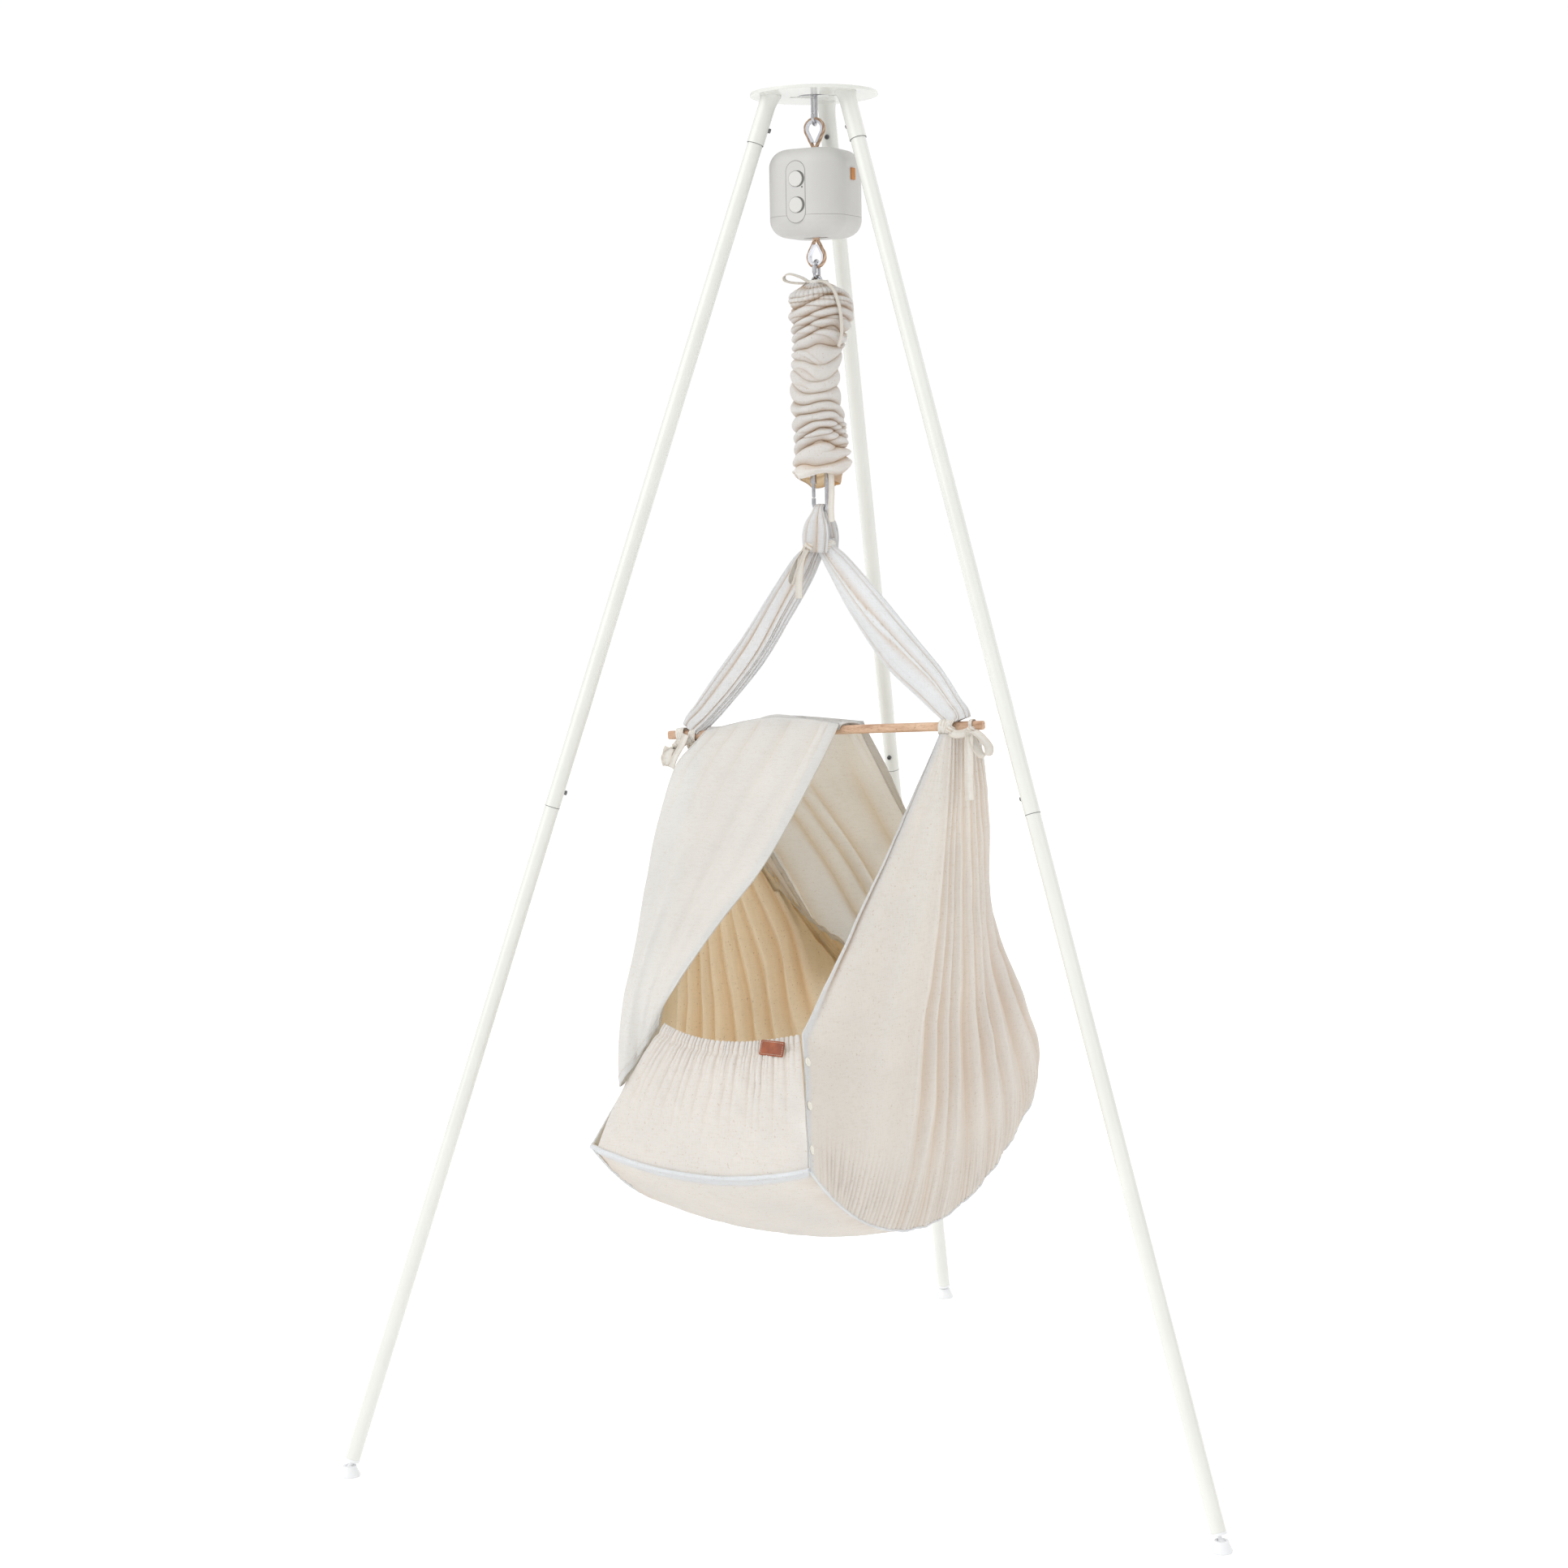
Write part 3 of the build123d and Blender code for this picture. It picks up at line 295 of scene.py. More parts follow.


# painted shade: each cotton's second colour is the darker tan mixed into its creases. Painted light: the inner sides
# are warmer, brighter copies of the same cotton, standing in for light shining through the cloth into the cradle
COTTON = cotton("cotton_outer", lin(242, 244, 246), lin(206, 178, 144), lin(176, 146, 108), flecks=0.22, through=0.44)
COTTON_IN_PAINTED_LIGHT = cotton("cotton_inner_painted_light", lin(254, 241, 216), lin(246, 218, 172), lin(150, 112, 70), flecks=0.3, through=0.82)
COTTON_FINE = cotton("cotton_canopy", lin(240, 240, 239), lin(216, 196, 168), lin(190, 165, 130), flecks=0.15, weave=0.18, through=0.42)
COTTON_CANOPY_IN_PAINTED_LIGHT = cotton("cotton_canopy_inner_painted_light", lin(254, 252, 247), lin(246, 236, 216), lin(180, 150, 112), flecks=0.15, weave=0.18, through=0.74)
TAPE = cotton("cotton_tape", lin(234, 232, 226), lin(196, 164, 126), lin(190, 160, 120), flecks=0.1, weave=0.35, through=0.15)
PAD = cotton("mattress_cover", lin(240, 232, 214), lin(222, 206, 184), lin(190, 160, 120), flecks=0.2, weave=0.3, through=0)
PAINT = painted("stand_paint", lin(224, 225, 219), 0.24, 0.45, 900.0, 0.0003)
FOOT = painted("foot_plastic", lin(232, 233, 234), 0.38, 0.15, 1500.0, 0.0002)
CASE = painted("case_plastic", lin(197, 196, 193), 0.52, 0.0, 3200.0, 0.00025)
KEY = painted("key_plastic", lin(208, 207, 203), 0.46, 0.0, 3200.0, 0.0002)
INSIDE_AND_GAP_SHADE = painted("inner_plastic", lin(70, 72, 74), 0.5, 0.0, 1500.0, 0.0002)
BOARD = painted("board_green", lin(38, 84, 60), 0.42, 0.2, 900.0, 0.0002)
LENS = painted("lens_plastic", lin(96, 98, 96), 0.2, 0.6, 900.0, 0.0001)
SNAP = painted("snap_plastic", lin(232, 228, 216), 0.32, 0.3, 1500.0, 0.0001)
STEEL = metal("bright_steel", lin(196, 196, 200), 0.16)
SPRING = metal("spring_steel", lin(150, 150, 154), 0.28)
ZINC = metal("thimble_zinc", lin(226, 228, 234), 0.24)
DARK_STEEL = metal("screw_steel", lin(118, 118, 120), 0.3)

WOOD, wt, wb = principled("spreader_wood")
wco = put(wt, "ShaderNodeTexCoord").outputs["Object"]
wgrain = texture(wt, "ShaderNodeTexNoise", wco, 26.0, stretch=(0.16, 3.2, 3.2), turn=(0, 0, -TURN), Detail=6.0, Roughness=0.6, Distortion=0.4)
wpore = texture(wt, "ShaderNodeTexNoise", wco, 210.0, stretch=(0.07, 3.0, 3.0), turn=(0, 0, -TURN), Detail=3.0)
wtone = ramp(wt, wgrain.outputs["Fac"], [(0.3, lin(172, 132, 104)), (0.5, lin(204, 170, 142)), (0.72, lin(222, 192, 166))])
wtone = mixed(wt, ramp(wt, wpore.outputs["Fac"], [(0.56, (0, 0, 0, 1)), (0.68, (0.55, 0.55, 0.55, 1))]), wtone, lin(140, 96, 66))
wt.links.new(wtone, wb.inputs["Base Color"])
varied(wt, wb, wgrain.outputs["Fac"], 0.46, 0.62)
bump(wt, wb, wpore.outputs["Fac"], 0.25, 0.0005)

LEATHER, lt, lb = principled("tan_leather")
lco = put(lt, "ShaderNodeTexCoord").outputs["Object"]
lcell = texture(lt, "ShaderNodeTexVoronoi", lco, 900.0)
lwide = texture(lt, "ShaderNodeTexNoise", lco, 90.0, Detail=4.0)
lt.links.new(ramp(lt, lwide.outputs["Fac"], [(0.3, lin(126, 64, 38)), (0.7, lin(160, 88, 56))]), lb.inputs["Base Color"])
varied(lt, lb, lwide.outputs["Fac"], 0.48, 0.64)
bump(lt, lb, lcell.outputs["Distance"], 0.35, 0.0005)

TAG, tt, tb = principled("honey_leather")
tco = put(tt, "ShaderNodeTexCoord").outputs["Object"]
tcell = texture(tt, "ShaderNodeTexVoronoi", tco, 1100.0)
twide = texture(tt, "ShaderNodeTexNoise", tco, 120.0, Detail=3.0)
tt.links.new(ramp(tt, twide.outputs["Fac"], [(0.3, lin(168, 106, 46)), (0.7, lin(194, 130, 64))]), tb.inputs["Base Color"])
varied(tt, tb, twide.outputs["Fac"], 0.5, 0.66)
bump(tt, tb, tcell.outputs["Distance"], 0.3, 0.0005)

ROPE, rt, rb = principled("rope_fibre")
rco = put(rt, "ShaderNodeTexCoord").outputs["Object"]
rfib = texture(rt, "ShaderNodeTexNoise", rco, 900.0, stretch=(1, 1, 0.2), Detail=4.0)
rwide = texture(rt, "ShaderNodeTexNoise", rco, 120.0, Detail=3.0)
# painted shade: the rope darkens to brown where the crease mask marks the grooves between its strands
rope_crease_shade = put(rt, "ShaderNodeAttribute", attribute_name="crease_shade")
rtone = ramp(rt, rwide.outputs["Fac"], [(0.3, lin(196, 164, 138)), (0.7, lin(216, 186, 160))])
rtone = mixed(rt, rope_crease_shade.outputs["Fac"], rtone, lin(140, 108, 84))
rt.links.new(rtone, rb.inputs["Base Color"])
varied(rt, rb, rfib.outputs["Fac"], 0.78, 0.9)
bump(rt, rb, rfib.outputs["Fac"], 0.4, 0.0005)

THREAD, ht, hb = principled("sewing_thread")
hco = put(ht, "ShaderNodeTexCoord").outputs["Object"]
hn = texture(ht, "ShaderNodeTexNoise", hco, 1500.0, Detail=2.0)
ht.links.new(ramp(ht, hn.outputs["Fac"], [(0.3, lin(216, 204, 184)), (0.7, lin(232, 224, 208))]), hb.inputs["Base Color"])
varied(ht, hb, hn.outputs["Fac"], 0.7, 0.85)


# ------------------------------------------------------------------ mesh helpers
def mesh_object(name, verts, faces, mats, uv=None, crease_shade=None, smooth_shading=True, slots=None, closed=True):
    me = bpy.data.meshes.new(name)
    me.from_pydata([tuple(v) for v in verts], [], [tuple(int(i) for i in f) for f in faces])
    if closed:
        bm = bmesh.new()
        bm.from_mesh(me)
        bmesh.ops.recalc_face_normals(bm, faces=bm.faces[:])
        bm.to_mesh(me)
        bm.free()
    for m in mats:
        me.materials.append(m)
    if uv is not None:
        layer = me.uv_layers.new(name="UVMap")
        loops = np.zeros(len(me.loops), np.int32)
        me.loops.foreach_get("vertex_index", loops)
        layer.data.foreach_set("uv", np.asarray(uv, np.float32)[loops].ravel())
    if crease_shade is not None:
        a = me.attributes.new("crease_shade", "FLOAT", "POINT")
        a.data.foreach_set("value", np.clip(np.asarray(crease_shade, np.float32), 0, 1).ravel())
    if slots is not None:
        me.polygons.foreach_set("material_index", np.asarray(slots, np.int32))
    me.polygons.foreach_set("use_smooth", [smooth_shading] * len(me.polygons))
    me.update()
    o = bpy.data.objects.new(name, me)
    scene.collection.objects.link(o)
    return o


def grid_faces(n, m, wrap_n=False, wrap_m=False, base=0):
    i = np.arange(n if wrap_n else n - 1)
    j = np.arange(m if wrap_m else m - 1)
    a, b = np.meshgrid(i, j, indexing="ij")
    a1, b1 = (a + 1) % n, (b + 1) % m
    return np.stack([a * m + b, a1 * m + b, a1 * m + b1, a * m + b1], -1).reshape(-1, 4) + base


def grid_normals(p, wrap_n=False, wrap_m=False):
    def slope(q, axis, wrap):
        return (np.roll(q, -1, axis) - np.roll(q, 1, axis)) if wrap else np.gradient(q, axis=axis)
    n = np.cross(slope(p, 0, wrap_n), slope(p, 1, wrap_m))
    return n / np.maximum(np.linalg.norm(n, axis=-1, keepdims=True), 1e-12)


def sheet(name, p, mats, body=None, crease_shade=None, thick=0.0012, flip=False, wrap_n=False, wrap_m=False):
    """A cloth surface from a grid of points, given two faces and a cut edge."""
    n, m = p.shape[:2]
    f = grid_faces(n, m, wrap_n, wrap_m)
    if flip:
        f = f[:, ::-1]
    du = np.linalg.norm(np.diff(p, axis=0, append=p[-1:]), axis=-1).mean(1)
    dv = np.linalg.norm(np.diff(p, axis=1, append=p[:, -1:]), axis=-1).mean(0)
    uv = np.stack(np.meshgrid(np.cumsum(du), np.cumsum(dv), indexing="ij"), -1).reshape(-1, 2)
    o = mesh_object(name, p.reshape(-1, 3), f, mats, uv, np.zeros(n * m) if crease_shade is None else np.asarray(crease_shade).reshape(-1), closed=False)
    s = o.modifiers.new("cloth", "SOLIDIFY")
    s.thickness, s.offset = thick, 0.0
    if len(mats) > 1:
        s.material_offset = 1
        s.material_offset_rim = 0
    if body:
        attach(o, body)
    return o


def tangents(path, closed=False):
    t = (np.roll(path, -1, 0) - np.roll(path, 1, 0)) if closed else np.gradient(path, axis=0)
    return t / np.maximum(np.linalg.norm(t, axis=1, keepdims=True), 1e-12)


def carried(path, first, closed=False):
    """Frames carried along a path without twisting; first is the direction of the first axis at the start."""
    t = tangents(path, closed)
    a = np.asarray(first, float) - t[0] * np.dot(first, t[0])
    a /= np.linalg.norm(a)
    out = [a]
    for k in range(1, len(path)):
        a = out[-1] - t[k] * np.dot(out[-1], t[k])
        out.append(a / np.linalg.norm(a))
    a = np.array(out)
    return t, a, np.cross(t, a)


def tube(path, radius, sides=16, first=(0, 0, 1), caps=True, closed=False):
    """(verts, faces) of a tube; radius is one number, one per point, or one per point and side."""
    path = np.asarray(path, float)
    n = len(path)
    t, a, b = carried(path, first, closed)
    th = np.arange(sides) * 2 * np.pi / sides
    r = np.broadcast_to(np.asarray(radius, float).reshape(-1, 1) if np.ndim(radius) == 1 else np.asarray(radius, float), (n, sides))
    ring = (a[:, None] * np.cos(th)[None, :, None] + b[:, None] * np.sin(th)[None, :, None]) * r[..., None] + path[:, None]
    v = ring.reshape(-1, 3)
    f = [tuple(x) for x in grid_faces(n, sides, closed, True)]
    if caps and not closed:
        f.append(tuple(range(sides))[::-1])
        f.append(tuple((n - 1) * sides + k for k in range(sides)))
    return v, f


def gathered(parts):
    """Several (verts, faces) as one."""
    vs, fs, base = [], [], 0
    for v, f in parts:
        vs.append(np.asarray(v))
        fs += [tuple(int(i) + base for i in x) for x in f]
        base += len(v)
    return np.concatenate(vs), fs


def stitches(name, path, normals, body, pitch=0.0034, length=0.0023, radius=0.00032, lift=0.0009):
    """A row of sewing stitches as short proud threads along a path."""
    path = np.asarray(path, float)
    d = np.concatenate([[0], np.cumsum(np.linalg.norm(np.diff(path, axis=0), axis=1))])
    parts = []
    for s in np.arange(pitch / 2, d[-1] - pitch / 2, pitch):
        pts, nn = [], []
        for q in (-0.5, -0.25, 0.25, 0.5):
            x = s + q * length
            pts.append([np.interp(x, d, path[:, k]) for k in range(3)])
            nn.append([np.interp(x, d, normals[:, k]) for k in range(3)])
        pts, nn = np.array(pts), np.array(nn)
        nn /= np.linalg.norm(nn, axis=1, keepdims=True)
        pts = pts + nn * (lift + radius * np.array([-1.6, 0.4, 0.4, -1.6]))[:, None]
        parts.append(tube(pts, radius, 6, first=nn[0]))
    v, f = gathered(parts)
    o = mesh_object(name, v, f, [THREAD])
    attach(o, body)
    return o


def edge_band(p, side, width):
    """The strip of a grid within width of one of its edges: side is 0 or 1 for the first or last row, 2 or 3 for columns."""
    q = p if side < 2 else np.swapaxes(p, 0, 1)
    if side in (1, 3):
        q = q[::-1]
    d = np.linalg.norm(np.diff(q, axis=0), axis=-1).cumsum(0)
    rows = 6
    out = np.zeros((rows, q.shape[1], 3))
    for j in range(q.shape[1]):
        dj = np.concatenate([[0], d[:, j]])
        for i, x in enumerate(np.linspace(0, width, rows)):
            out[i, j] = [np.interp(x, dj, q[:, j, k]) for k in range(3)]
    return out


def hem(name, p, side, width, mat, body, out=1.0, gap=0.0011):
    """A turned hem along a grid's edge: a second layer over it, with its row of stitches."""
    band = edge_band(p, side, width)
    n = grid_normals(band)
    m = n[n.shape[0] // 2].mean(0)
    q = band + n * gap * out
    o = sheet(name, q, [mat], body, thick=0.0009)
    row = q[-2]
    s = stitches(name + "_stitch", row, n[-2] * out, body, lift=0.0006)
    return o, s


def ribbon(name, keys, width, body, across=(0, 1, 0), n=70, thick=0.0009, curl=0.12, mat=None, seed=1, twist=0.0):
    """A cotton tape along keys (u, v, z); across is the width's direction, or one per key."""
    c = even(keys, n)
    w = np.asarray(across, float)
    w = np.broadcast_to(w, (n, 3)) if w.ndim == 1 else spline(w, np.linspace(0, 1, n))
    t = tangents(c)
    w = w - t * (w * t).sum(1, keepdims=True)
    w = w / np.linalg.norm(w, axis=1, keepdims=True)
    if twist:
        a = np.linspace(0, twist, n)[:, None]
        w = w * np.cos(a) + np.cross(t, w) * np.sin(a)
    nn = np.cross(t, w)
    x = np.linspace(-1, 1, 9)
    s = np.linspace(0, 1, n)
    half = width / 2 * (1 + 0.06 * rough(s * 7, s * 0 + 2, seed))
    p = c[:, None] + w[:, None] * (half[:, None] * x[None])[..., None]
    bow = curl * width * (x[None] ** 2 - 0.4) + 0.05 * width * rough(s[:, None] * 9, x[None] * 2 + 5, seed + 4)
    p = p + nn[:, None] * bow[..., None]
    q = world(p)
    # painted shade towards the tape's curled edges
    o = sheet(name, q, [mat or TAPE], body, crease_shade=0.25 * np.abs(x)[None] * np.ones((n, 1)), thick=thick)
    return o


# ------------------------------------------------------------------ CAD nodes that stay: materials
def paint(mat, *names):
    for n in names:
        o = frame["nodes"][n]
        o.data.materials.clear()
        o.data.materials.append(mat)


legs = ("left", "right", "rear")
paint(PAINT, "top_plate", *["socket_" + k for k in legs], *["upper_tube_" + k for k in legs], *["lower_tube_" + k for k in legs])
paint(FOOT, "foot_plugs", *["foot_pad_" + k for k in legs])
paint(STEEL, "hanger_bar", "top_carabiner", "top_gate", "spring_link", "spring_top_eye", "spring_bottom_eye", "lower_carabiner",
      "lower_gate", "lock_sleeve", "chassis", "winch_drum")
paint(DARK_STEEL, "joint_screws", "gear_motor")
paint(ZINC, "upper_thimble", "lower_thimble")
paint(CASE, "motor_upper_shell", "motor_lower_shell", "control_panel")
paint(KEY, "button_upper", "button_lower")
paint(LENS, "led_lens")
paint(INSIDE_AND_GAP_SHADE, "battery_pack")
paint(BOARD, "circuit_board")
paint(ROPE, "lift_strap")
paint(TAG, "leather_tag")
paint(WOOD, "spreader_bar")

# painted shadow: a dark ring standing in for the shadow in the step at each tube joint
for leg, ang in (("left", 210.0), ("right", 330.0), ("rear", 90.0)):
    ca, sa = math.cos(math.radians(ang)), math.sin(math.radians(ang))
    slope = math.asin((0.739 - 0.069) / math.sqrt((0.739 - 0.069) ** 2 + 1.985 ** 2))
    cl, sl = math.cos(slope), math.sin(slope)
    parts = []
    for s, r in ((1.0259, 0.01098), (2.0319, 0.01190)):
        c = np.array([(0.739 - s * sl) * ca, AY + (0.739 - s * sl) * sa, s * cl])
        along = np.array([-ca * sl, -sa * sl, cl])
        a = np.array([ca * cl, sa * cl, sl])
        b = np.cross(along, a)
        th = np.arange(48) * 2 * np.pi / 48
        parts.append(tube(c + (a * np.cos(th)[:, None] + b * np.sin(th)[:, None]) * r, 0.00038, 6, first=along, closed=True))
    v, f = gathered(parts)
    o = mesh_object("joint_painted_shadow_ring_" + leg, v, f, [INSIDE_AND_GAP_SHADE])
    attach(o, "stand")

# painted shade: a dark line standing in for the shadow in the groove round the control panel, and a dark crescent
# painted as the shadow on the right of each button
GROOVE_SHADE = painted("panel_groove_painted_shade", lin(150, 149, 145), 0.6, 0.0, 3200.0, 0.0001)
BUTTON_SHADOW = painted("button_painted_shadow", lin(104, 104, 100), 0.65, 0.0, 3200.0, 0.0001)
panel_c = np.array((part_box("control_panel")[0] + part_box("control_panel")[1]) / 2)
panel_u = float((panel_c - CENTRE) @ UD)
pts = []
for cz, a0 in ((1.853 + 0.0285, 0.0), (1.853 - 0.0285, math.pi)):
    for k in range(25):
        a = a0 + math.pi * k / 24
        pts.append((panel_u + 0.01575 * math.cos(a), -0.0609, cz + 0.01575 * math.sin(a)))
v, f = tube(world(np.array(pts)), 0.00042, 8, first=VD, closed=True)
o = mesh_object("panel_groove_shade_line", v, f, [GROOVE_SHADE])
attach(o, "drive")
parts = []
# painted shadow: each crescent is widest on the button's right side, away from the light
for zc in (1.8715, 1.8345):
    a = np.radians(np.linspace(-82, 82, 41))
    half = 0.0015 * np.cos(a / np.radians(82) * math.pi / 2) + 0.00012
    rr = 0.01135 + half
    ring = np.stack([panel_u + rr * np.cos(a), -0.06135 + 0 * a, zc + rr * np.sin(a)], 1)
    t_, a_, b_ = carried(world(ring), VD)
    th = np.arange(10) * 2 * np.pi / 10
    out_ = np.cross(t_, VD)
    q = world(ring)[:, None] + out_[:, None] * (half[:, None] * np.cos(th))[..., None] + VD[None, None] * (0.00022 * np.sin(th))[None, :, None]
    ff = [tuple(i) for i in grid_faces(41, 10, False, True)] + [tuple(range(10))[::-1], tuple(400 + k for k in range(10))]
    parts.append((q.reshape(-1, 3), ff))
v, f = gathered(parts)
o = mesh_object("button_painted_shadows", v, f, [BUTTON_SHADOW])
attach(o, "drive")

# ------------------------------------------------------------------ rope loops on their thimbles
for where, level, way, drop, body in (("upper", 1.9487, -1, 0.022, "drive"), ("lower", 1.764, 1, 0.020, "lift")):
    eye, off = 0.0096, 0.0041
    tip = math.asin(eye / drop)
    ct, st = math.cos(tip), math.sin(tip)
    r = eye + off
    neck = (eye + off) / st - 0.004
    xn = (r / st - neck) * math.tan(tip)
    arc = np.linspace(math.pi - (math.pi / 2 - tip) + math.pi / 2 - 0, 0, 2)
    th = np.linspace(-(math.pi / 2 + tip), math.pi / 2 + tip, 90)
    loop = np.stack([r * np.sin(th), -way * r * np.cos(th)], 1)      # around the eye, away from the neck
    a = np.linspace([-xn, way * neck], loop[0], 26)[:-1]
    b = np.linspace(loop[-1], [xn, way * neck], 26)[1:]
    xz = np.concatenate([a, loop, b])
    x_dir = np.array([1.0, 0, 0]) if where == "upper" else UD
    path = xz[:, :1] * x_dir + xz[:, 1:] * ZD + CENTRE + ZD * level
    d = np.concatenate([[0], np.cumsum(np.linalg.norm(np.diff(path, axis=0), axis=1))])
    path = np.stack([np.interp(np.linspace(0, d[-1], 300), d, path[:, k]) for k in range(3)], 1)
    s = np.linspace(0, d[-1], 300)[:, None]
    ang = np.arange(30)[None] * 2 * np.pi / 30
    lay = np.abs(np.sin(1.5 * (ang - s / 0.0115 * 2 * np.pi / 3 * 1.0)))
    radius = 0.00282 * (0.86 + 0.14 * lay ** 0.6)
    v, f = tube(path, radius, 30, first=(0, 0, 1) if abs(tangents(path)[0][2]) < 0.9 else np.cross(x_dir, ZD))
    # painted shade in the grooves between the rope's strands
    crease_shade = np.concatenate([(1 - lay.reshape(-1)) * 0.8])
    # whipping above the crotch, and the stopper inside the case
    rings = [(0.0022, 0.0), (0.0050, 0.0008), (0.0053, 0.0018)]
    zs = np.linspace(0.0, 0.0105, 46)
    prof = [(0.0010, -0.0025), (0.0046, -0.0025)] + [(0.0052 * (1 - 0.05 * abs(math.sin(z * 2600))), z - 0.002) for z in zs] + \
           [(0.0090, 0.0088), (0.0090, 0.0122), (0.0010, 0.0122)]
    ring = []
    for rr, zz in prof:
        t36 = np.arange(36) * 2 * np.pi / 36
        ring.append(np.stack([rr * np.cos(t36), rr * np.sin(t36), np.full(36, level + way * (neck + 0.0025 + zz))], 1) + CENTRE)
    ring = np.array(ring)
    gf = [tuple(x) for x in grid_faces(len(prof), 36, False, True)]
    vv, ff = gathered([(v, f), (ring.reshape(-1, 3), gf)])
    o = mesh_object(where + "_rope", vv, ff, [ROPE], crease_shade=np.concatenate([crease_shade, np.zeros(len(ring.reshape(-1, 3)))]))
    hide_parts(where + "_rope_loop")
    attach(o, body)

# ------------------------------------------------------------------ suspension spring
coil_lo, coil_hi = 1.486 + 0.0016 + 0.0005, 1.712 - 0.0016 - 0.0005
n = 24 * 26
a = np.linspace(0, 24 * 2 * math.pi, n)
path = np.stack([0.013 * np.cos(a), 0.013 * np.sin(a), np.linspace(coil_lo, coil_hi, n)], 1) + CENTRE
v, f = tube(path, 0.0016, 10, first=(1, 0, 0))
o = mesh_object("spring_coil", v, f, [SPRING])
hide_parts("suspension_spring")
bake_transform(o)

# ------------------------------------------------------------------ spring cover: a ruched cotton sleeve
nt, nz = 300, 460
th = np.linspace(0, 2 * np.pi, nt, endpoint=False)[:, None]
zz = np.linspace(0, 1, nz)[None]
key_z = np.array([1.727, 1.7225, 1.715, 1.702, 1.690, 1.675, 1.655, 1.64, 1.60, 1.55, 1.51, 1.48, 1.463, 1.45, 1.438])
key_r = np.array([.014, .0225, .0345, .0435, .0455, .0440, .0385, .0355, .0340, .0350, .0380, .0400, .0425, .0400, .0360])
z = 1.727 + (1.438 - 1.727) * zz
cx = th / (2 * np.pi)
r0 = np.interp(z[0], key_z[::-1], key_r[::-1])[None]
turn_ = 2 * np.pi * cx
swirl = (0.0075 * np.sin(turn_ + z * 31) + 0.0055 * np.sin(2 * turn_ - z * 44 + 1.3)
         + 0.0075 * rough(cx * 3, z * 13, 31, 2, wrap=3) + 0.0028 * rough(cx * 6, z * 30, 37, 2, wrap=6))
zr = np.clip((1.727 - z + swirl) / 0.289, 0, 1)
rings = np.array([0, 0.045, 0.105, 0.165, 0.215, 0.262, 0.318, 0.372, 0.455, 0.53, 0.61, 0.675, 0.735, 0.79, 0.85, 0.915, 1.0])
puff = pleats(zr, rings, 0.44, 0.62)
swirl_b = (0.011 * np.sin(turn_ + 2.1 - z * 22) + 0.008 * rough(cx * 4, z * 17, 53, 2, wrap=4))
zb = np.clip((1.727 - z + swirl_b) / 0.289, 0, 1)
fork = pleats(zb, uneven(21, 57, 0.6), 0.5, 0.55)
where = smooth(noise(cx * 4, z * 22, 59, wrap=4), 0.42, 0.75)
crown = smooth(zz, 0.0, 0.07)
calm = 1 - 0.55 * np.exp(-((z - 1.595) / 0.034) ** 2)
lump = rough(cx * 2, z * 17, 21, 2, wrap=2)
h = (puff - 0.72) * 0.0120 * calm - (1 - fork) * where * 0.0052 * (0.5 + 0.5 * calm) + 0.0042 * lump
gather = np.abs(np.sin(th * 17 + 1.4 * rough(cx * 5, z * 30, 44, 1, wrap=5)))
h = h * crown + (gather ** 0.7 - 0.6) * 0.0035 * (smooth(zz, 0.0, 0.015) * (1 - smooth(zz, 0.05, 0.16)))
bottom = smooth(zz, 0.93, 1.0)
h = h + bottom * 0.0045 * np.sin(th * 6 + 2 * rough(cx * 4, z * 4, 50, 1, wrap=4))
r = np.clip(r0 + h, 0.010, 0.0485)
zw = z + 0.0105 * bottom * (-np.sin(th - 0.3)) - 0.003 * bottom * np.sin(th * 3 + 0.6) + 0.0035 * rough(cx * 6, z * 45, 61, 2, wrap=6) * crown
shift_u = 0.0035 * np.sin((z - 1.45) * 34)
shift_v = 0.0025 * np.cos((z - 1.45) * 27)
p = np.stack([r * np.cos(th) + shift_u, r * np.sin(th) + shift_v, zw + 0 * th], -1)
# painted shade in the hollows of the ruching
crease_shade = np.clip((1 - puff) * 0.75 * calm + (1 - fork) * where * 0.5 - 0.08, 0, 1)
cover = world(p)
o = sheet("spring_sleeve", cover, [COTTON, COTTON_IN_PAINTED_LIGHT], crease_shade=crease_shade, thick=0.0012, wrap_n=True, flip=True)
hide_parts("spring_cover")
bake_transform(o)

# drawstring of the sleeve: bow loop above, a tail at the right, and a tail below
ribbon("sleeve_bow", [(-0.004, -0.016, 1.727), (-0.016, -0.020, 1.735), (-0.034, -0.022, 1.7405), (-0.0425, -0.022, 1.737),
                      (-0.041, -0.022, 1.7305), (-0.028, -0.021, 1.7265), (-0.010, -0.017, 1.725)], 0.0075, "lift",
       across=(0.1, 1, 0.35), seed=3)
ribbon("sleeve_tail_top", [(0.010, -0.016, 1.7275), (0.026, -0.020, 1.7245), (0.0405, -0.024, 1.712), (0.0475, -0.022, 1.690),
                           (0.0490, -0.018, 1.665), (0.0470, -0.016, 1.645), (0.0430, -0.018, 1.632)], 0.0070, "lift",
       across=(0.25, 1, 0.2), seed=5)
ribbon("sleeve_tail_low", [(0.022, -0.013, 1.470), (0.0255, -0.014, 1.448), (0.0265, -0.014, 1.425), (0.0255, -0.015, 1.40),
                           (0.0265, -0.015, 1.378)], 0.0085, "spring_end", across=(1, 0.3, 0), seed=7)
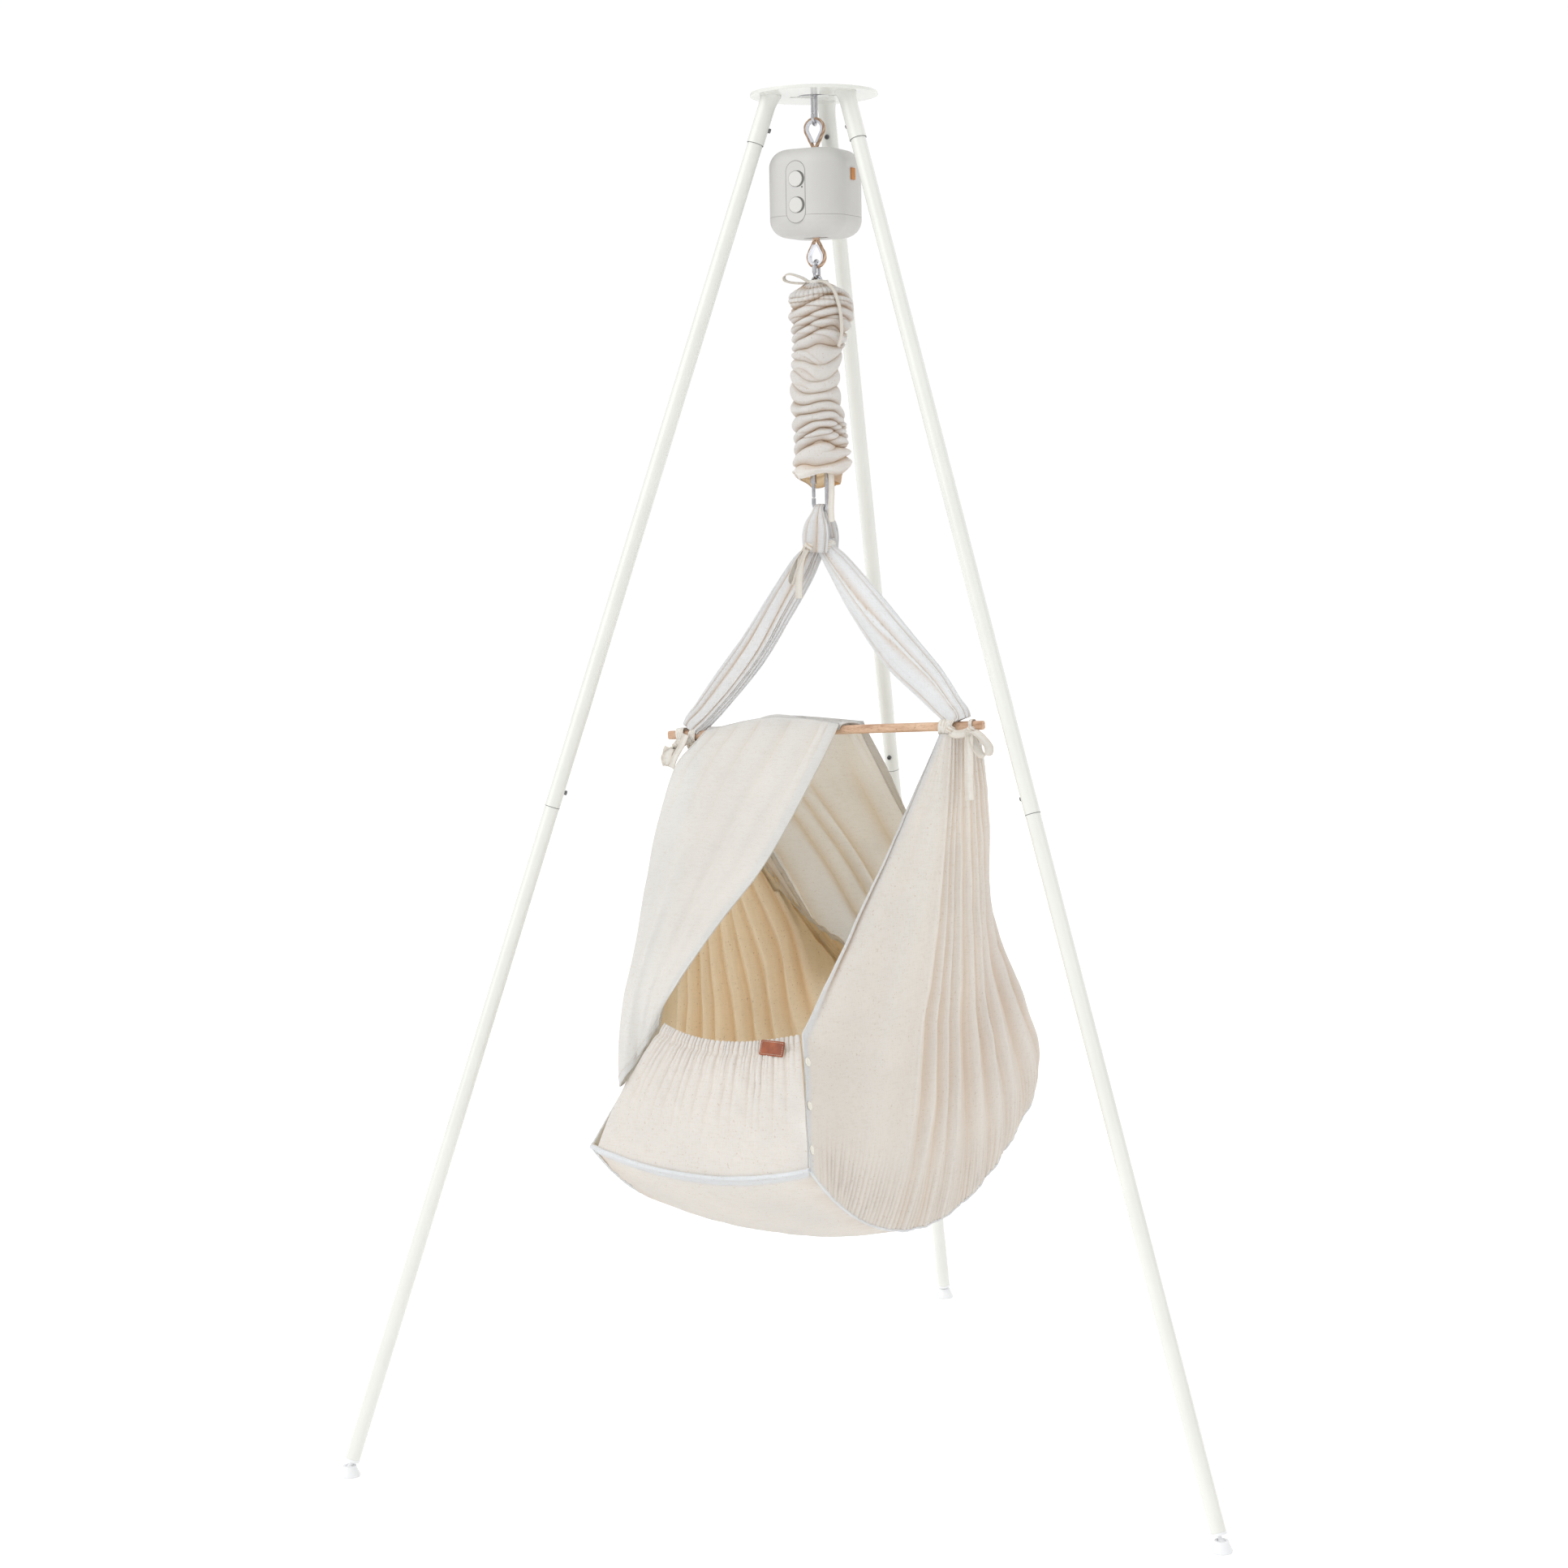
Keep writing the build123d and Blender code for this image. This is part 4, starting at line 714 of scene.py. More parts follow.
# the drawstring's band round the sleeve's neck
t90 = np.linspace(0, 2 * np.pi, 120, endpoint=False)
band = np.stack([np.stack([(0.0155 + 0.0012 * k) * np.cos(t90), (0.0155 + 0.0012 * k) * np.sin(t90),
                           1.7262 + 0.0040 * (j - 2) / 2 + 0.0004 * np.sin(5 * t90)], -1)
                 for j, k in enumerate((0.2, 0.8, 1.0, 0.8, 0.2))], 1)
o = sheet("sleeve_neck_tape", world(band), [TAPE], "lift", wrap_n=True, thick=0.0010)


# ------------------------------------------------------------------ hanging cloth above the spreader
def bundle(name, keys, first, body, count, seed, node=None, rows=170, sides=260, depth=0.30, spread=0.8, crown=0.38):
    """A gathered bundle of cloth: keys are (u, v, z, width, depth). Sharp lengthwise folds run down it."""
    k = np.asarray(keys, float)
    c = spline(k[:, :3], np.linspace(0, 1, rows))
    w = np.interp(np.linspace(0, 1, rows), np.linspace(0, 1, len(k)), k[:, 3])[:, None] / 2
    d = np.interp(np.linspace(0, 1, rows), np.linspace(0, 1, len(k)), k[:, 4])[:, None] / 2
    w, d = [np.convolve(np.pad(x[:, 0], 8, "edge"), np.ones(17) / 17, "valid")[:, None] for x in (w, d)]
    t = tangents(c)
    a = np.asarray(first, float) - t * (t @ np.asarray(first, float))[:, None]
    a /= np.linalg.norm(a, axis=1, keepdims=True)
    b = np.cross(t, a)
    th = np.linspace(0, 2 * np.pi, sides, endpoint=False)[None]
    s = np.linspace(0, 1, rows)[:, None]
    e = 0.62
    x = np.sign(np.cos(th)) * np.abs(np.cos(th)) ** e
    y = np.sign(np.sin(th)) * np.abs(np.sin(th)) ** e
    drift = 0.030 * np.sin(s * 5 + seed) + 0.028 * rough(s * 4, th * 0.5, seed, 2)
    crease = pleats(np.mod(th / (2 * np.pi) + drift, 1.0), uneven(count, seed, spread), 0.42, crown)
    minor = pleats(np.mod(th / (2 * np.pi) + drift * 1.7 + 0.03, 1.0), uneven(count * 2 + 3, seed + 8), 0.6)
    rad = 1 - depth * (1 - crease) - 0.10 * depth * (1 - minor) * 2
    p = c[:, None] + a[:, None] * (w * x * rad)[..., None] + b[:, None] * (d * y * rad)[..., None]
    # painted shade in the creases between the crowns
    crease_shade = np.clip((1 - crease) * 1.25 - 0.12, 0, 1) * 0.95
    q = world(p)
    vq = q.reshape(-1, 3)
    f = [tuple(i) for i in grid_faces(rows, sides, False, True)]
    f.append(tuple(range(sides))[::-1])
    f.append(tuple((rows - 1) * sides + i for i in range(sides)))
    o = mesh_object(name, vq, f, [COTTON], crease_shade=crease_shade.reshape(-1))
    if node:
        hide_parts(*([node] if isinstance(node, str) else node))
    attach(o, body)
    return o


# the loop through the carabiner, wide where the cloth gathers and narrow over the bow
bundle("strap_loop_cloth", [(-0.0030, -0.0105, 1.334, .040, .0125), (-0.0020, -0.0125, 1.356, .046, .0135), (-0.0010, -0.0118, 1.374, .040, .0115),
                            (0, -0.0098, 1.388, .024, .0088), (0, -0.0078, 1.3965, .0165, .0062), (0, -0.0030, 1.4016, .0150, .0052),
                            (0, 0.0030, 1.4016, .0150, .0052), (0, 0.0078, 1.3965, .0165, .0062), (0, 0.0098, 1.388, .024, .0088),
                            (0.0010, 0.0118, 1.374, .038, .0115), (0.0020, 0.0125, 1.356, .042, .0130), (0.0030, 0.0105, 1.334, .038, .0120)],
       (1, 0, 0), "cradle", 9, 3, node="strap_loop", rows=260, sides=150, depth=0.34)

bz = bar_z
bundle("strap_cloth_left", [(-0.006, 0, 1.349, .030, .0205), (-0.012, 0, 1.334, .027, .0195), (-0.031, 0, 1.310, .044, .0180), (-0.072, 0, 1.252, .050, .0172),
                            (-0.118, 0, 1.189, .053, .0172), (-0.162, 0, 1.138, .050, .0180), (-0.200, 0, 1.096, .043, .0200),
                            (-0.221, 0, bz(-.221) + .0165, .037, .0225), (-0.2265, 0, bz(-.2265) + .0080, .0345, .0235)],
       (0.75, 0, 0.66), "cradle", 15, 11, node="strap_left", depth=0.34, crown=0.5)
bundle("strap_cloth_right", [(0.006, 0, 1.349, .030, .0205), (0.012, 0, 1.334, .027, .0195), (0.031, 0, 1.311, .040, .0180), (0.078, 0, 1.250, .060, .0168),
                             (0.128, 0, 1.189, .067, .0168), (0.172, 0, 1.146, .060, .0180), (0.203, 0, 1.112, .046, .0200),
                             (0.2185, 0, bz(.2185) + .0165, .038, .0225), (0.2225, 0, bz(.2225) + .0080, .0355, .0235)],
       (0.75, 0, -0.66), "cradle", 11, 17, node="strap_right", depth=0.26, spread=0.9, crown=0.26)


def wrap_tape(name, centre, ax, ay, az, rx, ry, width, body, node=None, turns=1, seed=1, lean=0.12):
    """A tape wound round something: ax and ay span its section, az is along the width."""
    th = np.linspace(0, 2 * np.pi, 140, endpoint=False)
    e = 0.72
    cx = np.sign(np.cos(th)) * np.abs(np.cos(th)) ** e
    cy = np.sign(np.sin(th)) * np.abs(np.sin(th)) ** e
    x = np.linspace(-1, 1, 17)
    bow = 1 + 0.05 * (1 - x[None] ** 2) - 0.03 * np.abs(np.sin(x[None] * 6 + rough(th[:, None], x[None], seed)))
    p = (ax * (cx[:, None] * rx * bow)[..., None] + ay * (cy[:, None] * ry * bow)[..., None]
         + az * ((x[None] * width / 2) + lean * width * np.sin(th)[:, None] + 0.04 * width * rough(th[:, None] * 2, x[None], seed + 2))[..., None])
    # painted shade in bands along the tape's creases
    crease_shade = np.clip(np.abs(np.sin(x[None] * 6 + rough(th[:, None], x[None], seed))) < 0.25, 0, 1) * 0.5 + 0 * th[:, None]
    q = p + centre
    o = sheet(name, q, [TAPE], body, crease_shade=crease_shade, thick=0.0012, wrap_n=True)
    if node:
        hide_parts(node)
    return o


def knot(name, centre, size, body, seed=1, stretch=(1.0, 0.8, 0.8)):
    """A small tied knot: an overhand lump whose tape crosses itself."""
    nu, nv = 90, 44
    a = np.linspace(0, 2 * np.pi, nu, endpoint=False)[:, None]
    b = np.linspace(-np.pi / 2 + 0.02, np.pi / 2 - 0.02, nv)[None]
    groove = np.abs(np.sin(2.0 * a + 2.4 * np.sin(b * 1.3) + seed)) ** 0.5
    second = np.abs(np.sin(3.1 * b + 1.2 * np.cos(a) + seed * 2)) ** 0.5
    r = size * (0.80 + 0.17 * groove + 0.08 * second)
    p = np.stack([r * np.cos(b) * np.cos(a) * stretch[0], r * np.cos(b) * np.sin(a) * stretch[1], r * np.sin(b) * stretch[2] + 0 * a], -1)
    q = world(p + np.asarray(centre))
    f = [tuple(i) for i in grid_faces(nu, nv, True, False)]
    f.append(tuple(i * nv for i in range(nu)))
    f.append(tuple(i * nv + nv - 1 for i in range(nu))[::-1])
    # painted shade in the knot's grooves
    o = mesh_object(name, q.reshape(-1, 3), f, [TAPE], crease_shade=((1 - groove) * 0.8 + (1 - second) * 0.2).reshape(-1))
    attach(o, body)
    return o


# tie below the loop
wrap_tape("neck_tie_tape", world((0, 0, 1.3425)), UD, VD, ZD, 0.0200, 0.0135, 0.0120, "cradle", node="top_tie", seed=4)
wrap_tape("neck_tie_tape_second", world((0, 0, 1.3455)), UD, VD, ZD, 0.0207, 0.0142, 0.0105, "cradle", seed=9, lean=-0.3)
knot("neck_tie_knot", (-0.0125, -0.0165, 1.3420), 0.0082, "cradle", 1)
ribbon("neck_tie_bow", [(-0.0135, -0.019, 1.341), (-0.022, -0.024, 1.330), (-0.034, -0.026, 1.309), (-0.0385, -0.026, 1.294),
                        (-0.033, -0.027, 1.287), (-0.026, -0.027, 1.300), (-0.018, -0.024, 1.325), (-0.0135, -0.021, 1.338)], 0.0110, "cradle",
       across=(0.25, 1, 0.15), seed=13)
ribbon("neck_tie_tail", [(-0.0140, -0.021, 1.339), (-0.019, -0.026, 1.325), (-0.0215, -0.028, 1.305), (-0.0235, -0.028, 1.283),
                         (-0.0230, -0.028, 1.266)], 0.0105, "cradle", across=(1, 0.35, 0.1), seed=15)

# ties round the spreader
tilt_dir = UD * math.cos(math.radians(3)) + ZD * math.sin(math.radians(3))
up_dir = np.cross(tilt_dir, VD)


def on_bar(u, dv=0.0, dz=0.0):
    return world((u, dv, bar_z(u) + dz))


wrap_tape("bar_tape_left", on_bar(-0.2445), VD, up_dir, tilt_dir, 0.0108, 0.0102, 0.0135, "cradle", node="bar_tie_left", seed=21, lean=-0.12)
wrap_tape("bar_tape_left_second", on_bar(-0.2235), VD, up_dir, tilt_dir, 0.0106, 0.0100, 0.0115, "cradle", seed=24, lean=0.25)
wrap_tape("bar_tape_right", on_bar(0.2035), VD, up_dir, tilt_dir, 0.0120, 0.0112, 0.0200, "cradle", node="bar_tie_right", seed=22, lean=0.10)
wrap_tape("bar_tape_right_cross", on_bar(0.2100), VD, up_dir, tilt_dir, 0.0128, 0.0120, 0.0125, "cradle", seed=28, lean=0.55)
wrap_tape("bar_tape_right_end", on_bar(0.2435), VD, up_dir, tilt_dir, 0.0092, 0.0088, 0.0050, "cradle", seed=29, lean=0.0)

knot("bar_knot_left", (-0.2500, -0.0150, bar_z(-.25) - 0.0165), 0.0062, "cradle", 2)
ribbon("bar_leg_left_a", [(-0.2445, -0.0105, bar_z(-.2445) - .0060), (-0.2465, -0.0135, bar_z(-.2465) - .0110), (-0.2495, -0.0150, bar_z(-.2495) - .0165)],
       0.0105, "cradle", across=(1, 0, 0), seed=30, n=24)
ribbon("bar_leg_left_b", [(-0.2250, -0.0105, bar_z(-.2250) - .0070), (-0.2360, -0.0145, bar_z(-.2360) - .0120), (-0.2490, -0.0155, bar_z(-.2490) - .0160)],
       0.0102, "cradle", across=(0.4, 0, 1), seed=32, n=24)
ribbon("bar_bow_left", [(-0.2500, -0.0190, 1.0395), (-0.2570, -0.0210, 1.0370), (-0.2655, -0.0220, 1.0270), (-0.2640, -0.0220, 1.0150),
                        (-0.2560, -0.0215, 1.0110), (-0.2490, -0.0205, 1.0200), (-0.2480, -0.0195, 1.0360)],
       0.0150, "cradle", across=(0.25, 1, 0.1), seed=31, n=46)
ribbon("bar_bow_face_left", [(-0.2530, -0.0265, 1.0385), (-0.2560, -0.0275, 1.0300), (-0.2575, -0.0280, 1.0200), (-0.2560, -0.0275, 1.0120)],
       0.0170, "cradle", across=(1, 0.1, 0), seed=36, n=30)
ribbon("bar_tail_left", [(-0.2300, -0.0150, bar_z(-.23) + .0010), (-0.2350, -0.0195, 1.0430), (-0.2420, -0.0290, 1.0250), (-0.2490, -0.0300, 1.0080)],
       0.0102, "cradle", across=(0.9, 0.0, -0.35), seed=33, n=40)

knot("bar_knot_right", (0.2160, -0.0165, bar_z(.216) - 0.0040), 0.0072, "cradle", 3)
knot("bar_knot_right_end", (0.2480, -0.0155, bar_z(.248) - 0.0050), 0.0066, "cradle", 5)
ribbon("bar_band_right", [(0.2160, -0.0190, 1.0740), (0.2260, -0.0200, 1.0705), (0.2370, -0.0190, 1.0715), (0.2470, -0.0180, 1.0750)],
       0.0120, "cradle", across=(0.1, 0.1, 1), seed=35, n=40)
ribbon("bar_bow_right", [(0.2490, -0.0195, 1.0755), (0.2580, -0.0230, 1.0740), (0.2700, -0.0250, 1.0660), (0.2790, -0.0240, 1.0540),
                         (0.2780, -0.0230, 1.0430), (0.2690, -0.0220, 1.0410), (0.2590, -0.0210, 1.0520), (0.2500, -0.0190, 1.0700)],
       0.0150, "cradle", across=(0.45, 0.85, 0.15), seed=37)
ribbon("bar_tail_right", [(0.2480, -0.0190, 1.0740), (0.2495, -0.0250, 1.0620), (0.2500, -0.0270, 1.0350), (0.2500, -0.0275, 1.0050),
                          (0.2510, -0.0275, 0.9760)], 0.0135, "cradle", across=(1, 0.3, 0.05), seed=39)

# ------------------------------------------------------------------ cradle
BELLY, RIM, HALF_L, HALF_W = 0.345, 0.505, 0.392, 0.176
SAG = RIM - BELLY
ARC_R = (HALF_L ** 2 + SAG ** 2) / (2 * SAG)


def arc_z(v):
    return BELLY + ARC_R - np.sqrt(ARC_R ** 2 - np.clip(v, -0.4, 0.4) ** 2)


def base_z(u, v):
    """The sling's underside: an arc along the cradle that sags between its sides."""
    return arc_z(v) - 0.026 * (1 - np.clip(u / HALF_W, -1, 1) ** 2) * (1 - 0.35 * smooth(v, 0.2, 0.392))


# sling
nu, nv = 150, 260
uu = np.linspace(-1, 1, nu)[:, None]
vv = np.linspace(-1, 1, nv)[None]
v = vv * HALF_L + 0 * uu
half = HALF_W * (1 - 0.10 * smooth(vv, 0.80, 1.0) ** 2)
u = uu * half
z = base_z(u, v)
pucker = np.clip((np.abs(uu) - 0.80) / 0.2, 0, 1) ** 1.5
z = z - 0.0022 * pucker * (noise(v * 130, uu * 2, 71) - 0.5) * 2
z = z + 0.0028 * rough(u * 9, v * 7, 73, 3) * (1 - 0.6 * pucker) + 0.0016 * rough(u * 34, v * 10, 74, 2)
diag = np.exp(-((np.abs(u) - HALF_W + (v + HALF_L) * 0.55) / 0.03) ** 2) * np.exp(-((v + HALF_L) / 0.18) ** 2)
z = z + 0.0035 * diag
base = world(np.stack([u, v, z], -1))
# painted shade in the puckers along the sides
base_o = sheet("sling_base", base, [COTTON, COTTON_IN_PAINTED_LIGHT], "cradle", crease_shade=0.25 * pucker * noise(v * 130, uu * 2, 71), flip=True, thick=0.0016)
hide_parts("base_sling")

# ---- the body cloth: right wing, head wall and left wing, in one piece
PANEL_TOP = np.array([0.113, -0.300, 0.672])       # the foot opening's corners
HEAD_HEM = np.array([(0.0, 0.236, 0.686), (0.042, 0.226, 0.694), (0.078, 0.204, 0.715), (0.108, 0.182, 0.742), (0.136, 0.158, 0.776),
                     (0.160, 0.118, 0.836), (0.182, 0.066, 0.925), (0.200, 0.022, 1.030), (0.207, 0.008, 1.066)])


def perimeter(x):
    """Bottom edge of the body cloth from the right foot corner round the head, with each point's distance along it; x
    is not used.
    """
    pts = [(HALF_W, -HALF_L)]
    r = 0.055
    straight = HALF_L - r
    plan = [np.array([HALF_W, t]) for t in np.linspace(-HALF_L, straight, 160)]
    plan += [np.array([HALF_W - r + r * math.cos(t), straight + r * math.sin(t)]) for t in np.linspace(0, math.pi / 2, 30)[1:]]
    plan += [np.array([t, HALF_L]) for t in np.linspace(HALF_W - r, 0, 60)[1:]]
    plan = np.array(plan)
    plan = np.concatenate([plan, plan[:-1][::-1] * [-1, 1]])
    zz = arc_z(plan[:, 1]) - 0.016 * (1 - (plan[:, 0] / HALF_W) ** 2)
    p = np.concatenate([plan, zz[:, None]], 1)
    d = np.concatenate([[0], np.cumsum(np.linalg.norm(np.diff(p, axis=0), axis=1))])
    return p, d


edge, dist = perimeter(0)
total = dist[-1]
corner = float(np.interp(0.5, [0, 1], [0, 1]))
d_corner = dist[160 + 14]                            # middle of the rounded head corner
NS, NT = 900, 190
x = np.linspace(0, total, NS)
B = np.stack([np.interp(x, dist, edge[:, k]) for k in range(3)], 1)
side = np.where(x <= total / 2, 1.0, -1.0)
xr = np.minimum(x, total - x)                        # distance from the nearer foot corner
q = np.clip(xr / d_corner, 0, 1)                     # 0..1 along a wing
hd = np.clip((xr - d_corner) / (total / 2 - d_corner), 0, 1)     # 0..1 from head corner to the middle
# top: a bunch round the spreader for the wings, then the hanging hem of the head wall
bunch_u = 0.1975 + 0.0490 * q
bunch_v = -0.0125 + 0.0250 * smooth(q, 0.1, 0.95)
bunch_z = bar_z(side * bunch_u) - 0.0102
hem_keys = HEAD_HEM[::-1]
hem_p = spline(hem_keys, hd ** 0.82)
top = np.stack([bunch_u, bunch_v, bunch_z], 1)
k = smooth(hd, 0.0, 0.035)[:, None]
top = top * (1 - k) + hem_p * k
top[:, 2] += np.where(hd > 0, side * 0.207 * TILT * np.clip((top[:, 2] - 0.69) / 0.38, 0, 1), 0) * (hd > 0)
G = top.copy()
G[:, 0] *= side
t = np.linspace(0, 1, NT)[None, :]
S = side[:, None]
Q, H, X = q[:, None], hd[:, None], xr[:, None]
P = B[:, None] * (1 - t[..., None]) + G[:, None] * t[..., None]
# the foot opening pulls the front edge in and back
prof = np.where(t < 0.30, t / 0.30, np.clip((1 - t) / 0.70, 0, 1))
prof = np.where(t < 0.30, prof, prof ** 1.12)
pull = np.exp(-(X / 0.135) ** 1.7)
front = B[0] * [1, 1, 1]
line = B[0] * (1 - 0.30) + G[0] * 0.30
off = PANEL_TOP - line
P[..., 0] += S * off[0] * prof * pull
P[..., 1] += off[1] * prof * pull
P[..., 2] += off[2] * prof * pull
# the body fills out low down and tucks under to the seam
wingness = smooth(X, 0.05, 0.16)
fill = np.sin(np.pi * np.clip(t / 0.42, 0, 1)) ** 1.0 * np.exp(-t * 3.2)
outward = 0.020 * fill * wingness * (1 - H)
P[..., 0] += S * outward
headness = smooth(H, 0.0, 0.35)
tipness = np.exp(-((xr[:, None] - d_corner) / 0.10) ** 2)
bulge = np.exp(-((t - 0.10) / 0.09) ** 2)
P[..., 0] += S * tipness * bulge * 0.006 * (H < 0.9)
P[..., 1] += tipness * bulge * 0.012
P[..., 2] += tipness * bulge * -0.004
P[..., 1] += headness * (0.020 * np.sin(np.pi * np.clip(t, 0, 1)) ** 0.9 + 0.012 * np.exp(-((t - 0.18) / 0.14) ** 2))
P[..., 2] -= headness * 0.012 * np.sin(np.pi * t)
inward = np.exp(-((xr[:, None] - d_corner) / 0.17) ** 2) * np.exp(-((t - 0.50) / 0.25) ** 2)
P[..., 0] -= S * 0.026 * inward
# slack in the wing between its front edge and the long folds
belly = np.sin(np.pi * np.clip(t, 0, 1)) * np.exp(-((Q - 0.30) / 0.22) ** 2) * (1 - H)
P[..., 0] += S * 0.014 * belly
N = grid_normals(P)
N = N * np.where((N * np.stack([S + 0 * t, 0.3 * np.ones_like(S * t), 0 * S * t], -1)).sum(-1, keepdims=True) < 0, -1, 1) if False else N
# orientation: outward from the cradle's middle line
mid = np.stack([0 * S * t, 0.25 * P[..., 1], P[..., 2]], -1)
N = N * np.where(((P - mid) * N).sum(-1, keepdims=True) < 0, -1, 1)
gx = xr / total * 2
# long folds radiate from the bunch, mostly over the rear two thirds of the wing
wing_edges = np.concatenate([[0, 0.19, 0.31], 0.31 + (1 - 0.31) * uneven(8, 5, 0.45)[1:]])
drift = 0.010 * np.sin(t * 3 + Q * 9) + 0.014 * rough(Q * 6, t * 2.5, 81, 2)
lf = ridges(np.clip(Q + drift * smooth(t, 0, 0.3), 0, 1), wing_edges)
fine = ridges(np.clip(Q + 1.6 * drift * smooth(t, 0, 0.3) + 0.01, 0, 1), uneven(31, 84, 0.6), (1.2, 2.0))
amp_q = 0.10 + 0.90 * smooth(Q, 0.24, 0.42)
run = 0.55 + 0.45 * noise(np.clip(np.searchsorted(wing_edges, np.clip(Q, 0, 1)), 0, 40) * 1.7, Q * 0, 83)
wing_amp = 0.0215 * amp_q * run * (0.30 + 0.70 * smooth(t, 0.0, 0.34)) * np.clip((1 - t) * 1.15 + 0.20, 0, 1)
fine_amp = 0.0022 * amp_q * np.clip((1 - t) * 0.9 + 0.25, 0, 1) * (0.5 + 0.5 * smooth(t, 0.05, 0.3))
calm_h = 1 - smooth(H, 0.0, 0.25)
d1 = ((lf - 0.38) * wing_amp + (fine - 0.4) * fine_amp) * calm_h
# the front edge is rolled, with a groove behind the roll
roll = np.exp(-((X - 0.022 * (0.35 + 0.65 * (1 - t))) / (0.0065 * (0.5 + 0.5 * (1 - t)))) ** 2) * smooth(t, 0.30, 0.5)
d1 = d1 - roll * 0.0045
# small puckers where the wing is gathered into the seam
pk_edges = uneven(88, 7, 0.5)
pk = pleats(np.clip(xr[:, None] / (total / 2) + 0.004 * rough(X * 30, t * 8, 85, 2), 0, 1), pk_edges, 0.45)
pk_amp = 0.0036 * np.exp(-((t - 0.035) / 0.075) ** 2) * smooth(X, 0.015, 0.08)
d2 = (pk - 0.5) * pk_amp
# gathers of the head wall run from its hem down
hw_edges = uneven(15, 19, 0.4)
hw = pleats(np.clip(H * (1 - 0.0) + 0.02 * rough(H * 5, t * 3, 87, 2), 0, 1), hw_edges, 0.42)
d3 = (hw - 0.5) * 0.0075 * smooth(H, 0.10, 0.32) * (0.35 + 0.65 * smooth(t, 0.1, 0.7)) * (1 - 0.4 * smooth(t, 0.9, 1.0))
d4 = 0.0040 * rough(Q * 5 + H * 4, t * 4, 89, 3) * np.sin(np.pi * np.clip(t, 0, 1)) ** 0.6
d5 = 0.0016 * rough(Q * 26 + H * 11, t * 16, 91, 2) * np.sin(np.pi * np.clip(t, 0, 1)) ** 0.4
P = P + N * (d1 + d2 + d3 + d4 + d5)[..., None]
# painted shade: darker in the hollows of the long folds, behind the rolled front edge, in the seam puckers and in the
# head wall's gathers
crease_shade = np.clip((1 - lf) ** 1.3 * np.clip(wing_amp / 0.016, 0, 1) * calm_h * 0.62 + (1 - fine) * amp_q * calm_h * 0.10 * smooth(t, 0.1, 0.4) + roll * 0.75
               + np.clip((t - 0.62) / 0.38, 0, 1) * (1 - lf) * amp_q * 0.30 * calm_h
               + ((1 - pk) ** 1.3) * pk_amp / 0.0036 * 0.42 + ((1 - hw) ** 1.5) * smooth(H, 0.10, 0.3) * 0.55, 0, 1)
body_p = world(P)
body_o = sheet("body_cloth", body_p, [COTTON, COTTON_IN_PAINTED_LIGHT], "cradle", crease_shade=crease_shade, flip=False, thick=0.0014)
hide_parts("side_wing_left", "side_wing_right", "head_panel")

# hems: the wings' front edges and the head wall's upper edge
for name, i in (("right", 0), ("left", 1)):
    hem("front_hem_" + name, body_p, i, 0.013, COTTON, "cradle", out=1.0 if i else -1.0)
head_cols = np.where(hd > 0.06)[0]
hem("head_hem_inside", body_p[head_cols[0]:head_cols[-1] + 1], 3, 0.013, COTTON_IN_PAINTED_LIGHT, "cradle", out=1.0)
hem("head_hem_outside", body_p[head_cols[0]:head_cols[-1] + 1], 3, 0.013, COTTON, "cradle", out=-1.0)

# piping along the seam between the body cloth and the sling, and along the foot hem
seam = even(np.stack([np.interp(np.linspace(0, total, 240), x, P[:, 0, k]) for k in range(3)], 1), 700)
seam[:, 2] -= 0.0006
v_, f_ = tube(world(seam), 0.0019 + 0.0003 * rough(np.linspace(0, 60, 700), 0.5, 95)[:, None], 10, first=(0, 0, 1))
o = mesh_object("seam_piping", v_, f_, [COTTON])
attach(o, "cradle")
fu = np.linspace(-HALF_W, HALF_W, 200)
foot_hem = np.stack([fu, -HALF_L - 0.0012 + 0 * fu, base_z(fu, -HALF_L + 0 * fu) + 0.0010 * rough(fu * 30, 0.4, 97)], 1)
v_, f_ = tube(world(foot_hem), 0.0030, 12, first=(0, 0, 1))
o = mesh_object("foot_piping", v_, f_, [COTTON])
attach(o, "cradle")
# a flat lip where the sling's foot seam is bound
lip = np.stack([np.stack([fu * (1 - 0.01 * k), -HALF_L + 0.0006 + 0.0022 * k + 0 * fu,
                          base_z(fu, -HALF_L + 0 * fu) - 0.0028 * k - 0.001 + 0.0008 * rough(fu * 40, k * 0.7, 99)], 1) for k in range(5)], 1)
o = sheet("foot_binding", world(lip), [COTTON], "cradle", thick=0.0016)

# ------------------------------------------------------------------ foot panel
nu, nt = 360, 150
uu = np.linspace(-1, 1, nu)[:, None]
t = np.linspace(0, 1, nt)[None]
low = np.stack([0.1695 * uu + 0.0040 + 0 * t, -HALF_L + 0.0015 + 0 * uu * t, base_z(0.170 * uu, -HALF_L + 0 * uu) + 0.0005 + 0 * t], -1)
dip = (1 - uu ** 2)
high = np.stack([(PANEL_TOP[0] - 0.0035) * uu + 0.0045 + 0 * t, PANEL_TOP[1] - 0.030 * dip + 0 * t, PANEL_TOP[2] - 0.012 * dip - 0.002 + 0 * t], -1)
P2 = low * (1 - t[..., None]) + high * t[..., None]
P2[..., 1] -= 0.020 * np.sin(np.pi * t) ** 0.9 * (1 - 0.55 * uu ** 4)
P2[..., 2] -= 0.004 * np.sin(np.pi * t) * dip
P2[..., 0] += 0.006 * uu * np.sin(np.pi * t)
N2 = grid_normals(P2)
N2 = N2 * np.where(N2[..., 1:2] > 0, -1, 1)
g_edges = uneven(38, 23, 0.55)
gx = np.clip((uu + 1) / 2 + 0.004 * rough(uu * 6, t * 4, 101, 2), 0, 1)
ga = pleats(gx, g_edges, 0.5)
